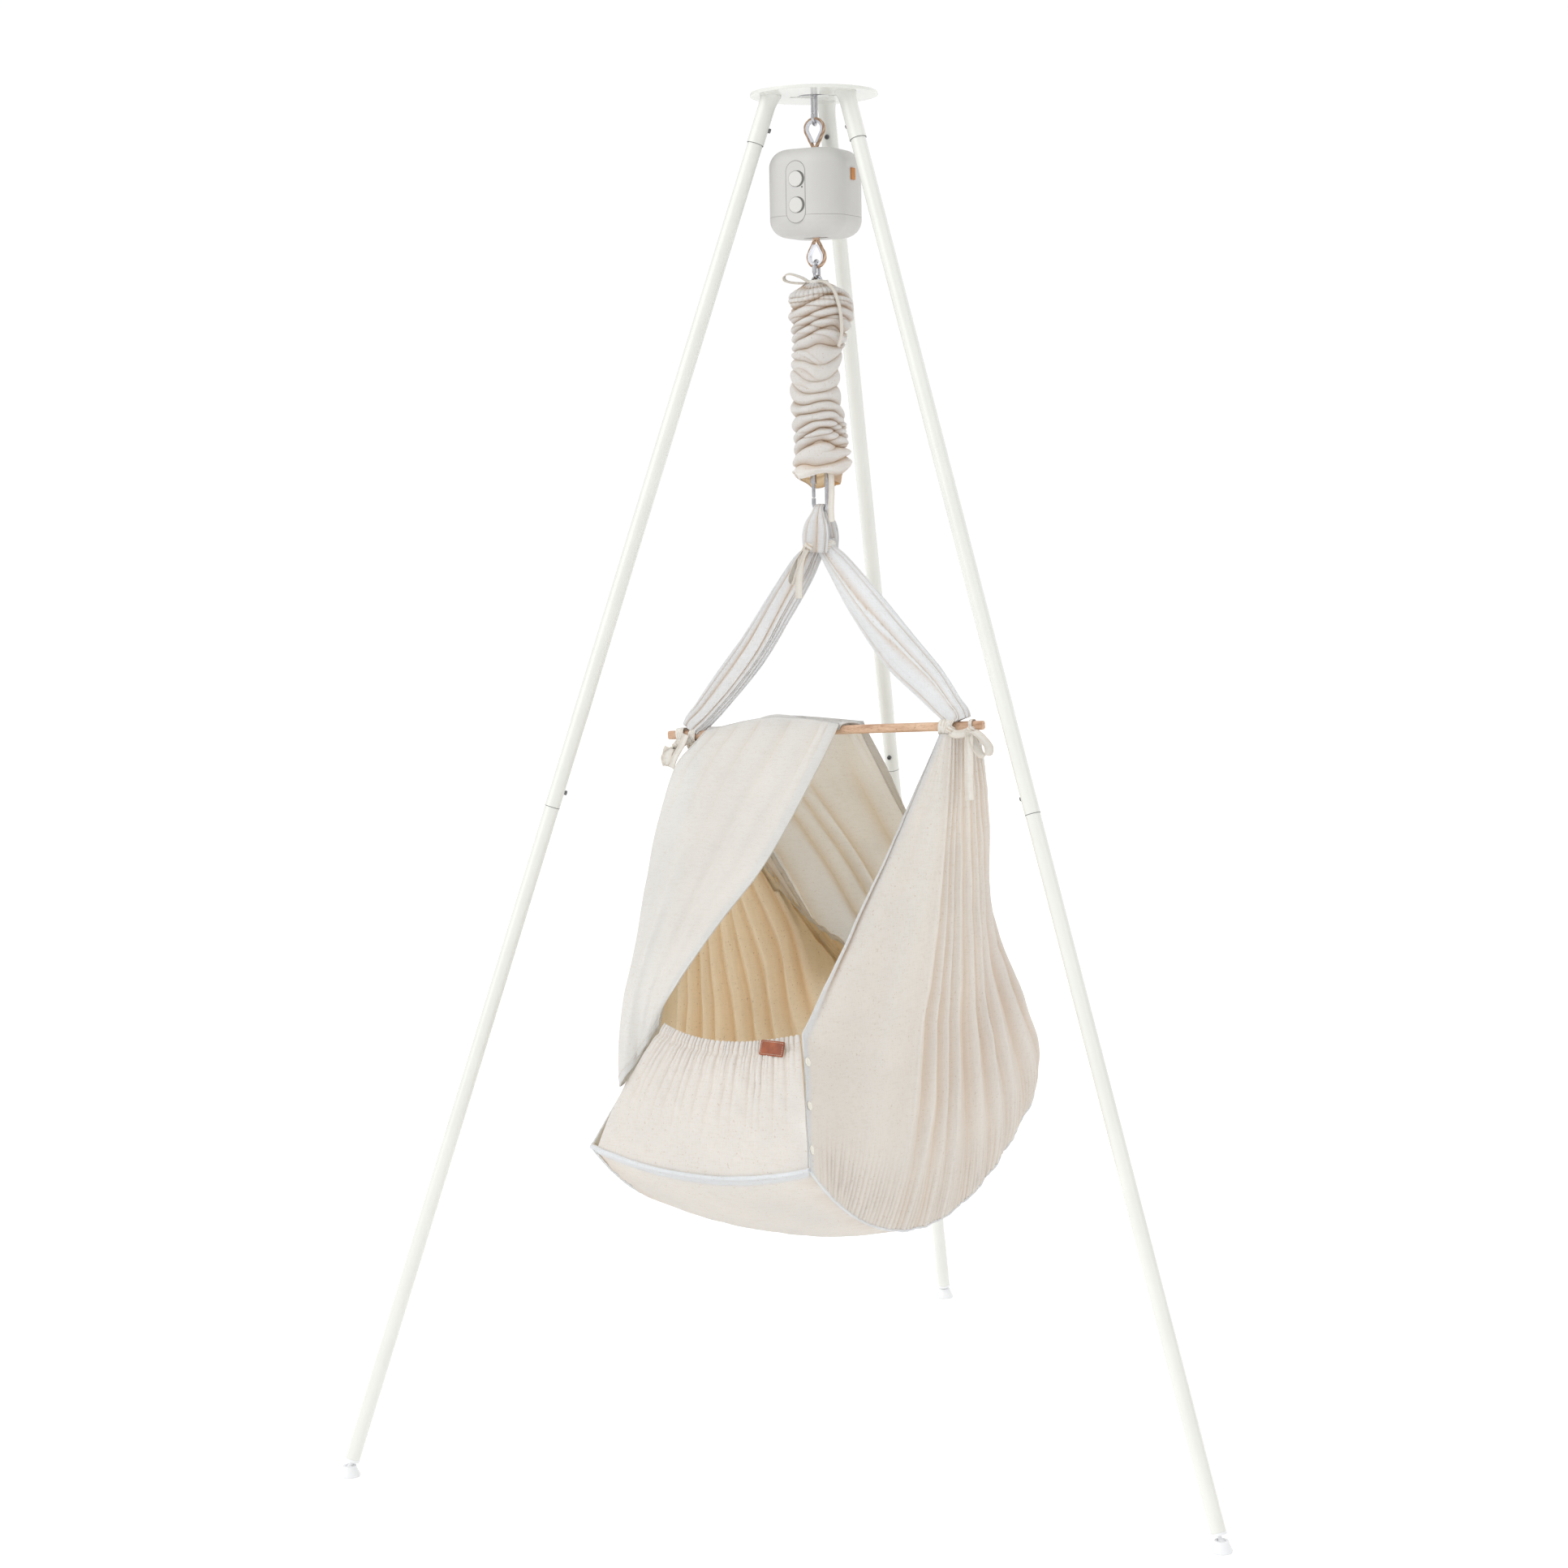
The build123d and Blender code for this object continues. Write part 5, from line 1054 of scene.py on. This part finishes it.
g2_edges = uneven(17, 29, 0.5)
gb = pleats(np.clip((uu + 1) / 2 + 0.012 * rough(uu * 4, t * 3, 103, 2), 0, 1), g2_edges, 0.45)
frill = np.exp(-((t - 0.925) / 0.022) ** 2)
near = np.exp(-((1 - t) / 0.16) ** 1.4)
d = (ga - 0.5) * 0.0038 * near * (1 - 0.35 * frill) + (gb - 0.5) * 0.0030 * smooth(t, 0.12, 0.62) * (1 - smooth(t, 0.86, 0.98)) * np.exp(-((1 - t) / 0.55) ** 2)
d = d - 0.0020 * frill + 0.0022 * rough(uu * 4, t * 4, 105, 3) * np.sin(np.pi * t) ** 0.5
cx_l = uu * np.cos(0.5) + t * 1.1
d = d + 0.0022 * rough(cx_l * 8, uu * 2 - t * 2, 107, 2) * smooth(t, 0.0, 0.2) * (1 - smooth(t, 0.7, 1))
P2 = P2 + N2 * d[..., None]
P2[..., 2] += 0.0010 * (ga - 0.5) * np.exp(-((1 - t) / 0.05) ** 2)
# painted shade in the hollows of the gathers
crease_shade = np.clip((1 - ga) ** 1.5 * near * 0.45 + (1 - gb) ** 2 * 0.12 * smooth(t, 0.2, 0.7), 0, 1)
foot_p = world(P2)
foot_o = sheet("foot_panel_cloth", foot_p, [COTTON, COTTON_IN_PAINTED_LIGHT], crease_shade=crease_shade, thick=0.0014)
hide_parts("foot_panel")
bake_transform(foot_o)

# elastic casing: two rows of stitches along the top
for j, k in ((0.905, "a"), (0.948, "b")):
    row = int(j * (nt - 1))
    stitches("foot_elastic_stitch_" + k, foot_p[:, row], (N2[:, row, :1] * UD + N2[:, row, 1:2] * VD + N2[:, row, 2:] * ZD), "flap", pitch=0.0030,
             length=0.0020, radius=0.00026, lift=0.0007)


def on_panel(u, t_):
    """Place and outward normal on the foot panel's own surface."""
    i = ((u - 0.0045) / (0.1695 + (PANEL_TOP[0] - 0.0035 - 0.1695) * t_) + 1) / 2 * (nu - 1)
    j = t_ * (nt - 1)
    i0, j0 = int(np.clip(i, 0, nu - 2)), int(np.clip(j, 0, nt - 2))
    return P2[i0, j0], N2[i0, j0]


def patch(name, centre, normal, up, w, h, thick, mat, body, corner=0.002, bend=0.0):
    """A thin rounded patch lying on cloth, crowned a little, in the hanging axes."""
    n = normal / np.linalg.norm(normal)
    b = up - n * np.dot(up, n)
    b /= np.linalg.norm(b)
    a = np.cross(b, n)
    pts = []
    for sx, sy, t0 in ((1, 1, 0), (-1, 1, 90), (-1, -1, 180), (1, -1, 270)):
        for k in range(7):
            r = math.radians(t0 + 15 * k)
            pts.append(((w / 2 - corner) * sx + corner * math.cos(r), (h / 2 - corner) * sy + corner * math.sin(r)))
    pts = np.array(pts)
    rings = [(1.0, 0.0), (1.0, thick * 0.7), (1 - 0.0006 / w * 2, thick * 0.93), (1 - 0.0016 / w * 2, thick), (0.72, thick * 1.04), (0.35, thick * 1.08)]
    vs = []
    for s, lift in rings:
        q = pts * s
        vs.append(centre + a * q[:, :1] + b * q[:, 1:] + n * (lift + bend * (q[:, :1] / w) ** 2))
    vs = np.array(vs)
    m = len(pts)
    f = [tuple(i) for i in grid_faces(len(rings), m, False, True)]
    vs = vs.reshape(-1, 3)
    f.append(tuple(range(m))[::-1])
    f.append(tuple((len(rings) - 1) * m + k for k in range(m)))
    o = mesh_object(name, world(vs), f, [mat])
    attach(o, body)
    row = centre + a * (pts[:, :1] * (1 - 0.0042 / w)) + b * (pts[:, 1:] * (1 - 0.0042 / h)) + n * (thick * 0.9 + bend * (pts[:, :1] / w) ** 2)
    row = np.concatenate([row, row[:1]])
    nw = (n[0] * UD + n[1] * VD + n[2] * ZD)
    stitches(name + "_stitch", world(row), np.broadcast_to(nw, (len(row), 3)), body, pitch=0.0030, length=0.0019, radius=0.00022, lift=0.0004)
    return o


pc, pn = on_panel(0.084, 0.945)
pn = np.array([0.10, -0.93, 0.34])
lab = patch("label_patch", pc + pn / np.linalg.norm(pn) * 0.0052, pn, np.array([0, 0.45, 1.0]), 0.036, 0.0215, 0.0016, LEATHER, "flap", bend=0.004)
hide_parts("leather_label")

# ------------------------------------------------------------------ snap buttons on the wings' front edges
snap_parts = []


def lathe(profile, centre, axis, sides=28):
    n = axis / np.linalg.norm(axis)
    a = np.cross(n, [0, 0, 1.0])
    a /= np.linalg.norm(a)
    b = np.cross(n, a)
    th = np.arange(sides) * 2 * np.pi / sides
    ring = np.array([centre + (a * np.cos(th)[:, None] + b * np.sin(th)[:, None]) * r + n * h for r, h in profile])
    f = [tuple(i) for i in grid_faces(len(profile), sides, False, True)]
    f.append(tuple(range(sides))[::-1])
    f.append(tuple((len(profile) - 1) * sides + k for k in range(sides)))
    return ring.reshape(-1, 3), f


for end in (0, 1):
    cols = P[:, :, :] if end == 0 else P[::-1]
    ns = N if end == 0 else N[::-1]
    for tt_ in (0.055, 0.150, 0.245):
        j = int(tt_ * (NT - 1))
        i = int(0.0115 / (total / (NS - 1)))
        c = cols[i, j]
        n_ = ns[i, j]
        snap_parts.append(lathe([(0.0060, -0.0008), (0.0064, 0.0004), (0.0060, 0.0014), (0.0046, 0.0019), (0.0036, 0.0014), (0.0030, 0.0011),
                                 (0.0016, 0.0014), (0.0004, 0.0016)], c + n_ * 0.0012, n_))
v_, f_ = gathered(snap_parts)
o = mesh_object("snap_studs", world(v_), f_, [SNAP])
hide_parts("snap_buttons")
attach(o, "cradle")

# ------------------------------------------------------------------ canopy: one sheet laid over the spreader
K = [
    [(-.1970, -.002, 1.066), (-.2080, -.0180, 1.046), (-.238, -.022, 1.012), (-.251, -.026, .950), (-.252, -.040, .880), (-.246, -.062, .800), (-.238, -.090, .720), (-.230, -.130, .640), (-.224, -.170, .575)],
    [(-.184, -.009, 1.070), (-.196, -.0215, 1.051), (-.223, -.040, 1.014), (-.232, -.080, .952), (-.227, -.122, .900), (-.213, -.168, .846), (-.197, -.222, .780), (-.182, -.288, .690), (-.164, -.334, .618), (-.151, -.352, .585)],
    [(-.080, -.009, 1.090), (-.104, -.064, 1.014), (-.118, -.125, .935), (-.128, -.180, .862), (-.135, -.238, .788), (-.137, -.288, .720), (-.136, -.315, .660), (-.134, -.331, .622)],
    [(.032, -.009, 1.083), (.019, -.085, .996), (-.006, -.183, .886), (-.042, -.248, .810), (-.084, -.290, .736), (-.106, -.3030, .694), (-.113, -.3050, .667)],
]
Rr = [
    [(-.1970, .002, 1.066), (-.2050, .013, 1.045), (-.219, .042, 1.010), (-.226, .105, .930), (-.222, .170, .850), (-.215, .238, .760), (-.208, .300, .672), (-.206, .322, .640)],
    [(-.184, .009, 1.070), (-.172, .060, .998), (-.150, .122, .925), (-.130, .184, .850), (-.115, .254, .750), (-.105, .308, .672), (-.100, .332, .640)],
    [(-.080, .009, 1.090), (-.066, .060, 1.000), (-.040, .120, .925), (-.016, .188, .838), (-.004, .254, .750), (.000, .308, .675), (.000, .332, .640)],
    [(.060, .009, 1.085), (.070, .060, 1.018), (.078, .115, .945), (.090, .176, .868), (.102, .238, .790), (.113, .296, .700), (.118, .326, .655)],
]
NP, NF = 300, 240


def fan(keys, rows):
    cols = np.array([even(k, rows) for k in keys])
    pos = np.array([0, 0.24, 0.60, 1.0])
    pp = np.linspace(0, 1, NP)
    xi = np.interp(pp, pos, np.linspace(0, 1, 4))
    return np.stack([spline(cols[:, j], xi) for j in range(rows)], 1)


front_p, rear_p = fan(K, NF), fan(Rr, NF)
pp = np.linspace(0, 1, NP)
u_top = (front_p[:, 0, 0] + rear_p[:, 0, 0]) / 2
crest = 0.0090 + 0.0145 * np.exp(-((u_top + 0.078) / 0.055) ** 2) + 0.0030 * rough(pp * 9, 0.3, 111)
over = []
for i in range(NP):
    a, b = front_p[i, 0], rear_p[i, 0]
    th = np.linspace(math.pi, 0, 17)
    zc = bar_z(u_top[i]) + 0.001
    seg = np.stack([np.interp(np.cos(th), [-1, 1], [a[0], b[0]]), 0.0102 * np.cos(th), zc + crest[i] * np.sin(th) ** 0.8], 1)
    over.append(seg)
over = np.array(over)
front_p[:, 0, 2] = over[:, 0, 2]
rear_p[:, 0, 2] = over[:, -1, 2]
for part, end in ((front_p, over[:, 0]), (rear_p, over[:, -1])):
    w = np.exp(-np.linspace(0, 1, NF) * 16)[None, :, None]
    part += (end - part[:, 0])[:, None] * w
canopy = np.concatenate([front_p[:, :0:-1], over, rear_p[:, 1:]], 1)
NC = canopy.shape[1]
Nn = grid_normals(canopy)
Nn = Nn * np.where(Nn[:, NC // 2, 2:3][:, None] < 0, -1, 1)
tc = np.concatenate([np.linspace(1, 0, NF)[:-1], np.zeros(17), np.linspace(0, 1, NF)[1:]])[None]
isf = np.concatenate([np.ones(NF - 1), np.ones(8), np.zeros(9), np.zeros(NF - 1)])[None]
pg = pp[:, None]
# soft folds follow the front edge; deeper ones radiate behind
soft = (np.exp(-((pg - 0.80 + 0.05 * tc) / 0.035) ** 2) * 0.0050 - np.exp(-((pg - 0.70 + 0.06 * tc) / 0.030) ** 2) * 0.0045
        + np.exp(-((pg - 0.52 + 0.10 * tc) / 0.045) ** 2) * 0.0050 - np.exp(-((pg - 0.40 + 0.08 * tc) / 0.05) ** 2) * 0.0040) * np.sin(np.pi * np.clip(tc, 0, 1)) ** 0.6
top_f = pleats(np.clip(pg + 0.015 * rough(pg * 6, tc * 3, 115, 2), 0, 1), uneven(9, 37, 0.6), 0.42)
near_top = np.exp(-(tc / 0.16) ** 1.2)
soft = soft + (top_f - 0.5) * 0.0028 * near_top * smooth(tc, 0.0, 0.03)
wav = 0.0045 * rough(pg * 4, tc * 3 + 1, 117, 3) * smooth(tc, 0, 0.25)
rear_f = pleats(np.clip(pg + 0.03 * rough(pg * 3, tc * 2, 119, 2), 0, 1), uneven(7, 41, 0.6), 0.4, 1.3)
rear_d = (rear_f - 0.5) * 0.015 * smooth(tc, 0.03, 0.5) * (1 - 0.25 * smooth(tc, 0.85, 1.0))
dd = isf * soft + (1 - isf) * (rear_d + (top_f - 0.5) * 0.005 * near_top * smooth(tc, 0.0, 0.03)) + wav
canopy = canopy + Nn * dd[..., None]
# painted shade in the hollows of the rear pleats and the gathers at the top
crease_shade = np.clip((1 - isf) * (1 - rear_f) ** 2.0 * 0.40 * smooth(tc, 0.03, 0.3) + near_top * (1 - top_f) ** 1.5 * 0.22 * smooth(tc, 0, 0.03), 0, 1)
can_w = world(canopy)
can_o = sheet("canopy_cloth", can_w, [COTTON_FINE, COTTON_CANOPY_IN_PAINTED_LIGHT], "cradle", crease_shade=crease_shade, thick=0.0011, flip=False)
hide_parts("canopy_sheet")
hem("canopy_hem_edge", can_w, 1, 0.016, COTTON_FINE, "cradle", out=1.0)
hem("canopy_hem_front", can_w, 2, 0.016, COTTON_FINE, "cradle", out=-1.0)

# ------------------------------------------------------------------ mattress: a quilted pad bent to the sling
def slab(thick, inset):
    nu_, nv_ = 44, 92
    a_ = np.linspace(-1, 1, nu_)
    b_ = np.linspace(-1, 1, nv_)
    A, Bv = np.meshgrid(a_, b_, indexing="ij")
    hw_, hl_ = 0.162 - inset, 0.352 - inset
    uu_, vv_ = A * hw_, Bv * hl_
    zb = base_z(uu_ * 0 + 0.0, vv_) + 0.030 + inset
    lift = 0.006 * np.abs(A) ** 4
    low_ = np.stack([uu_, vv_, zb + lift], -1)
    slope_ = np.arctan(vv_ / ARC_R)
    up_ = np.stack([0 * uu_, -np.sin(slope_), np.cos(slope_)], -1)
    return low_, low_ + up_ * thick


low_s, high_s = slab(0.024, 0.004)
nu_, nv_ = low_s.shape[:2]
verts = np.concatenate([low_s.reshape(-1, 3), high_s.reshape(-1, 3)])
faces = [tuple(f[::-1]) for f in grid_faces(nu_, nv_)] + [tuple(f) for f in grid_faces(nu_, nv_, base=nu_ * nv_)]
ring = [i * nv_ for i in range(nu_)] + [(nu_ - 1) * nv_ + j for j in range(1, nv_)] + [i * nv_ + nv_ - 1 for i in range(nu_ - 2, -1, -1)] + [j for j in range(nv_ - 2, 0, -1)]
for a_, b_ in zip(ring, ring[1:] + ring[:1]):
    faces.append((a_, b_, b_ + nu_ * nv_, a_ + nu_ * nv_))
pad = mesh_object("mattress_pad", world(verts), faces, [PAD], crease_shade=np.zeros(len(verts)))
bpy.context.view_layer.objects.active = pad
for o_ in bpy.context.selected_objects:
    o_.select_set(False)
pad.select_set(True)
rm = pad.modifiers.new("remesh", "REMESH")
rm.mode, rm.voxel_size = "VOXEL", 0.007
bpy.ops.object.modifier_apply(modifier="remesh")
rest_co = np.zeros(len(pad.data.vertices) * 3, np.float32)
pad.data.vertices.foreach_get("co", rest_co)
cl = pad.modifiers.new("fill", "CLOTH")
cl.settings.quality = 4
cl.settings.use_pressure = True
cl.settings.uniform_pressure_force = 4.0
cl.settings.effector_weights.gravity = 0.0
cl.point_cache.frame_start, cl.point_cache.frame_end = 1, 14
for fr in range(1, 15):
    scene.frame_set(fr)
dg = bpy.context.evaluated_depsgraph_get()
ev = pad.evaluated_get(dg).to_mesh()
new = np.zeros(len(ev.vertices) * 3, np.float32)
ev.vertices.foreach_get("co", new)
pad.evaluated_get(dg).to_mesh_clear()
pad.modifiers.remove(cl)
scene.frame_set(1)
rest3, new3 = rest_co.reshape(-1, 3), new.reshape(-1, 3)
move = new3 - rest3
dist_ = np.linalg.norm(move, axis=1, keepdims=True)
move = move * np.minimum(1, 0.0065 / np.maximum(dist_, 1e-9))
pad.data.vertices.foreach_set("co", (rest3 + move).ravel())
pad.data.update()
pad.data.polygons.foreach_set("use_smooth", [True] * len(pad.data.polygons))
if "crease_shade" not in pad.data.attributes:
    pad.data.attributes.new("crease_shade", "FLOAT", "POINT")
sub = pad.modifiers.new("smooth", "SUBSURF")
sub.levels = sub.render_levels = 1
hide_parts("mattress")
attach(pad, "cradle")

# ------------------------------------------------------------------ stage, light and camera
floor = bpy.data.meshes.new("floor")
R = 14.0
fv = [(R * math.cos(a), R * math.sin(a), -0.0002) for a in np.linspace(0, 2 * math.pi, 96, endpoint=False)]
floor.from_pydata(fv, [], [tuple(range(96))])
FLOOR, ft, fb = principled("studio_floor")
fb.inputs["Base Color"].default_value = (0.97, 0.97, 0.97, 1)
fb.inputs["Emission Color"].default_value = (1, 1, 1, 1)
fb.inputs["Emission Strength"].default_value = 0.14
fb.inputs["Roughness"].default_value = 0.9
fb.inputs["Specular IOR Level"].default_value = 0.1
floor.materials.append(FLOOR)
floor_o = bpy.data.objects.new("studio_floor", floor)
scene.collection.objects.link(floor_o)

w = bpy.data.worlds.new("studio")
scene.world = w
w.use_nodes = True
w.node_tree.nodes["Background"].inputs["Color"].default_value = (1.0, 1.0, 1.0, 1)
back = w.node_tree.nodes["Background"]
seen = w.node_tree.nodes.new("ShaderNodeBackground")
seen.inputs["Color"].default_value, seen.inputs["Strength"].default_value = (1.0, 1.0, 1.0, 1), 1.02
back.inputs["Strength"].default_value = 0.72
path_ = w.node_tree.nodes.new("ShaderNodeLightPath")
choice = w.node_tree.nodes.new("ShaderNodeMixShader")
w.node_tree.links.new(path_.outputs["Is Camera Ray"], choice.inputs["Fac"])
w.node_tree.links.new(back.outputs["Background"], choice.inputs[1])
w.node_tree.links.new(seen.outputs["Background"], choice.inputs[2])
w.node_tree.links.new(choice.outputs["Shader"], w.node_tree.nodes["World Output"].inputs["Surface"])




def sun(name, direction, strength, spread):
    d = bpy.data.lights.new(name, "SUN")
    d.energy, d.angle = strength, math.radians(spread)
    o = bpy.data.objects.new(name, d)
    scene.collection.objects.link(o)
    o.rotation_mode = "QUATERNION"
    o.rotation_quaternion = Vector(direction).to_track_quat("-Z", "Y")
    o.location = (0, 0, 4)
    return o


sun("key", (0.75, 0.65, -0.75), 1.25, 60)
sun("fill", (-0.80, 0.55, -0.75), 0.35, 50)
sun("back", (-0.25, -0.80, -0.80), 0.60, 90)

cam = bpy.data.cameras.new("camera")
cam_o = bpy.data.objects.new("camera", cam)
scene.collection.objects.link(cam_o)
ca_, D_, h_, pitch_, yaw_, roll_, f_px = 0.2716612726, 4.2197115457, 1.4166542658, -0.1008236511, 0.014477156, -0.0174532925, 3504.1600287
pos = np.array([D_ * math.sin(ca_), -D_ * math.cos(ca_) + AY, h_])
aa = ca_ + yaw_
fwd = np.array([-math.sin(aa) * math.cos(pitch_), math.cos(aa) * math.cos(pitch_), math.sin(pitch_)])
right = np.array([math.cos(aa), math.sin(aa), 0])
up = np.cross(right, fwd)
r2 = right * math.cos(roll_) + up * math.sin(roll_)
u2 = -right * math.sin(roll_) + up * math.cos(roll_)
cam_o.matrix_world = Matrix([[r2[i], u2[i], -fwd[i], pos[i]] for i in range(3)] + [[0, 0, 0, 1]])
cam.sensor_width = 36.0
cam.sensor_fit = "HORIZONTAL"
cam.lens = f_px / 1932 * 36.0
cam.clip_start, cam.clip_end = 0.1, 60.0
scene.camera = cam_o

scene.view_settings.view_transform = "Standard"
scene.view_settings.look = "None"
scene.view_settings.exposure = 0.0
scene.view_settings.gamma = 1.0

bpy.context.view_layer.update()
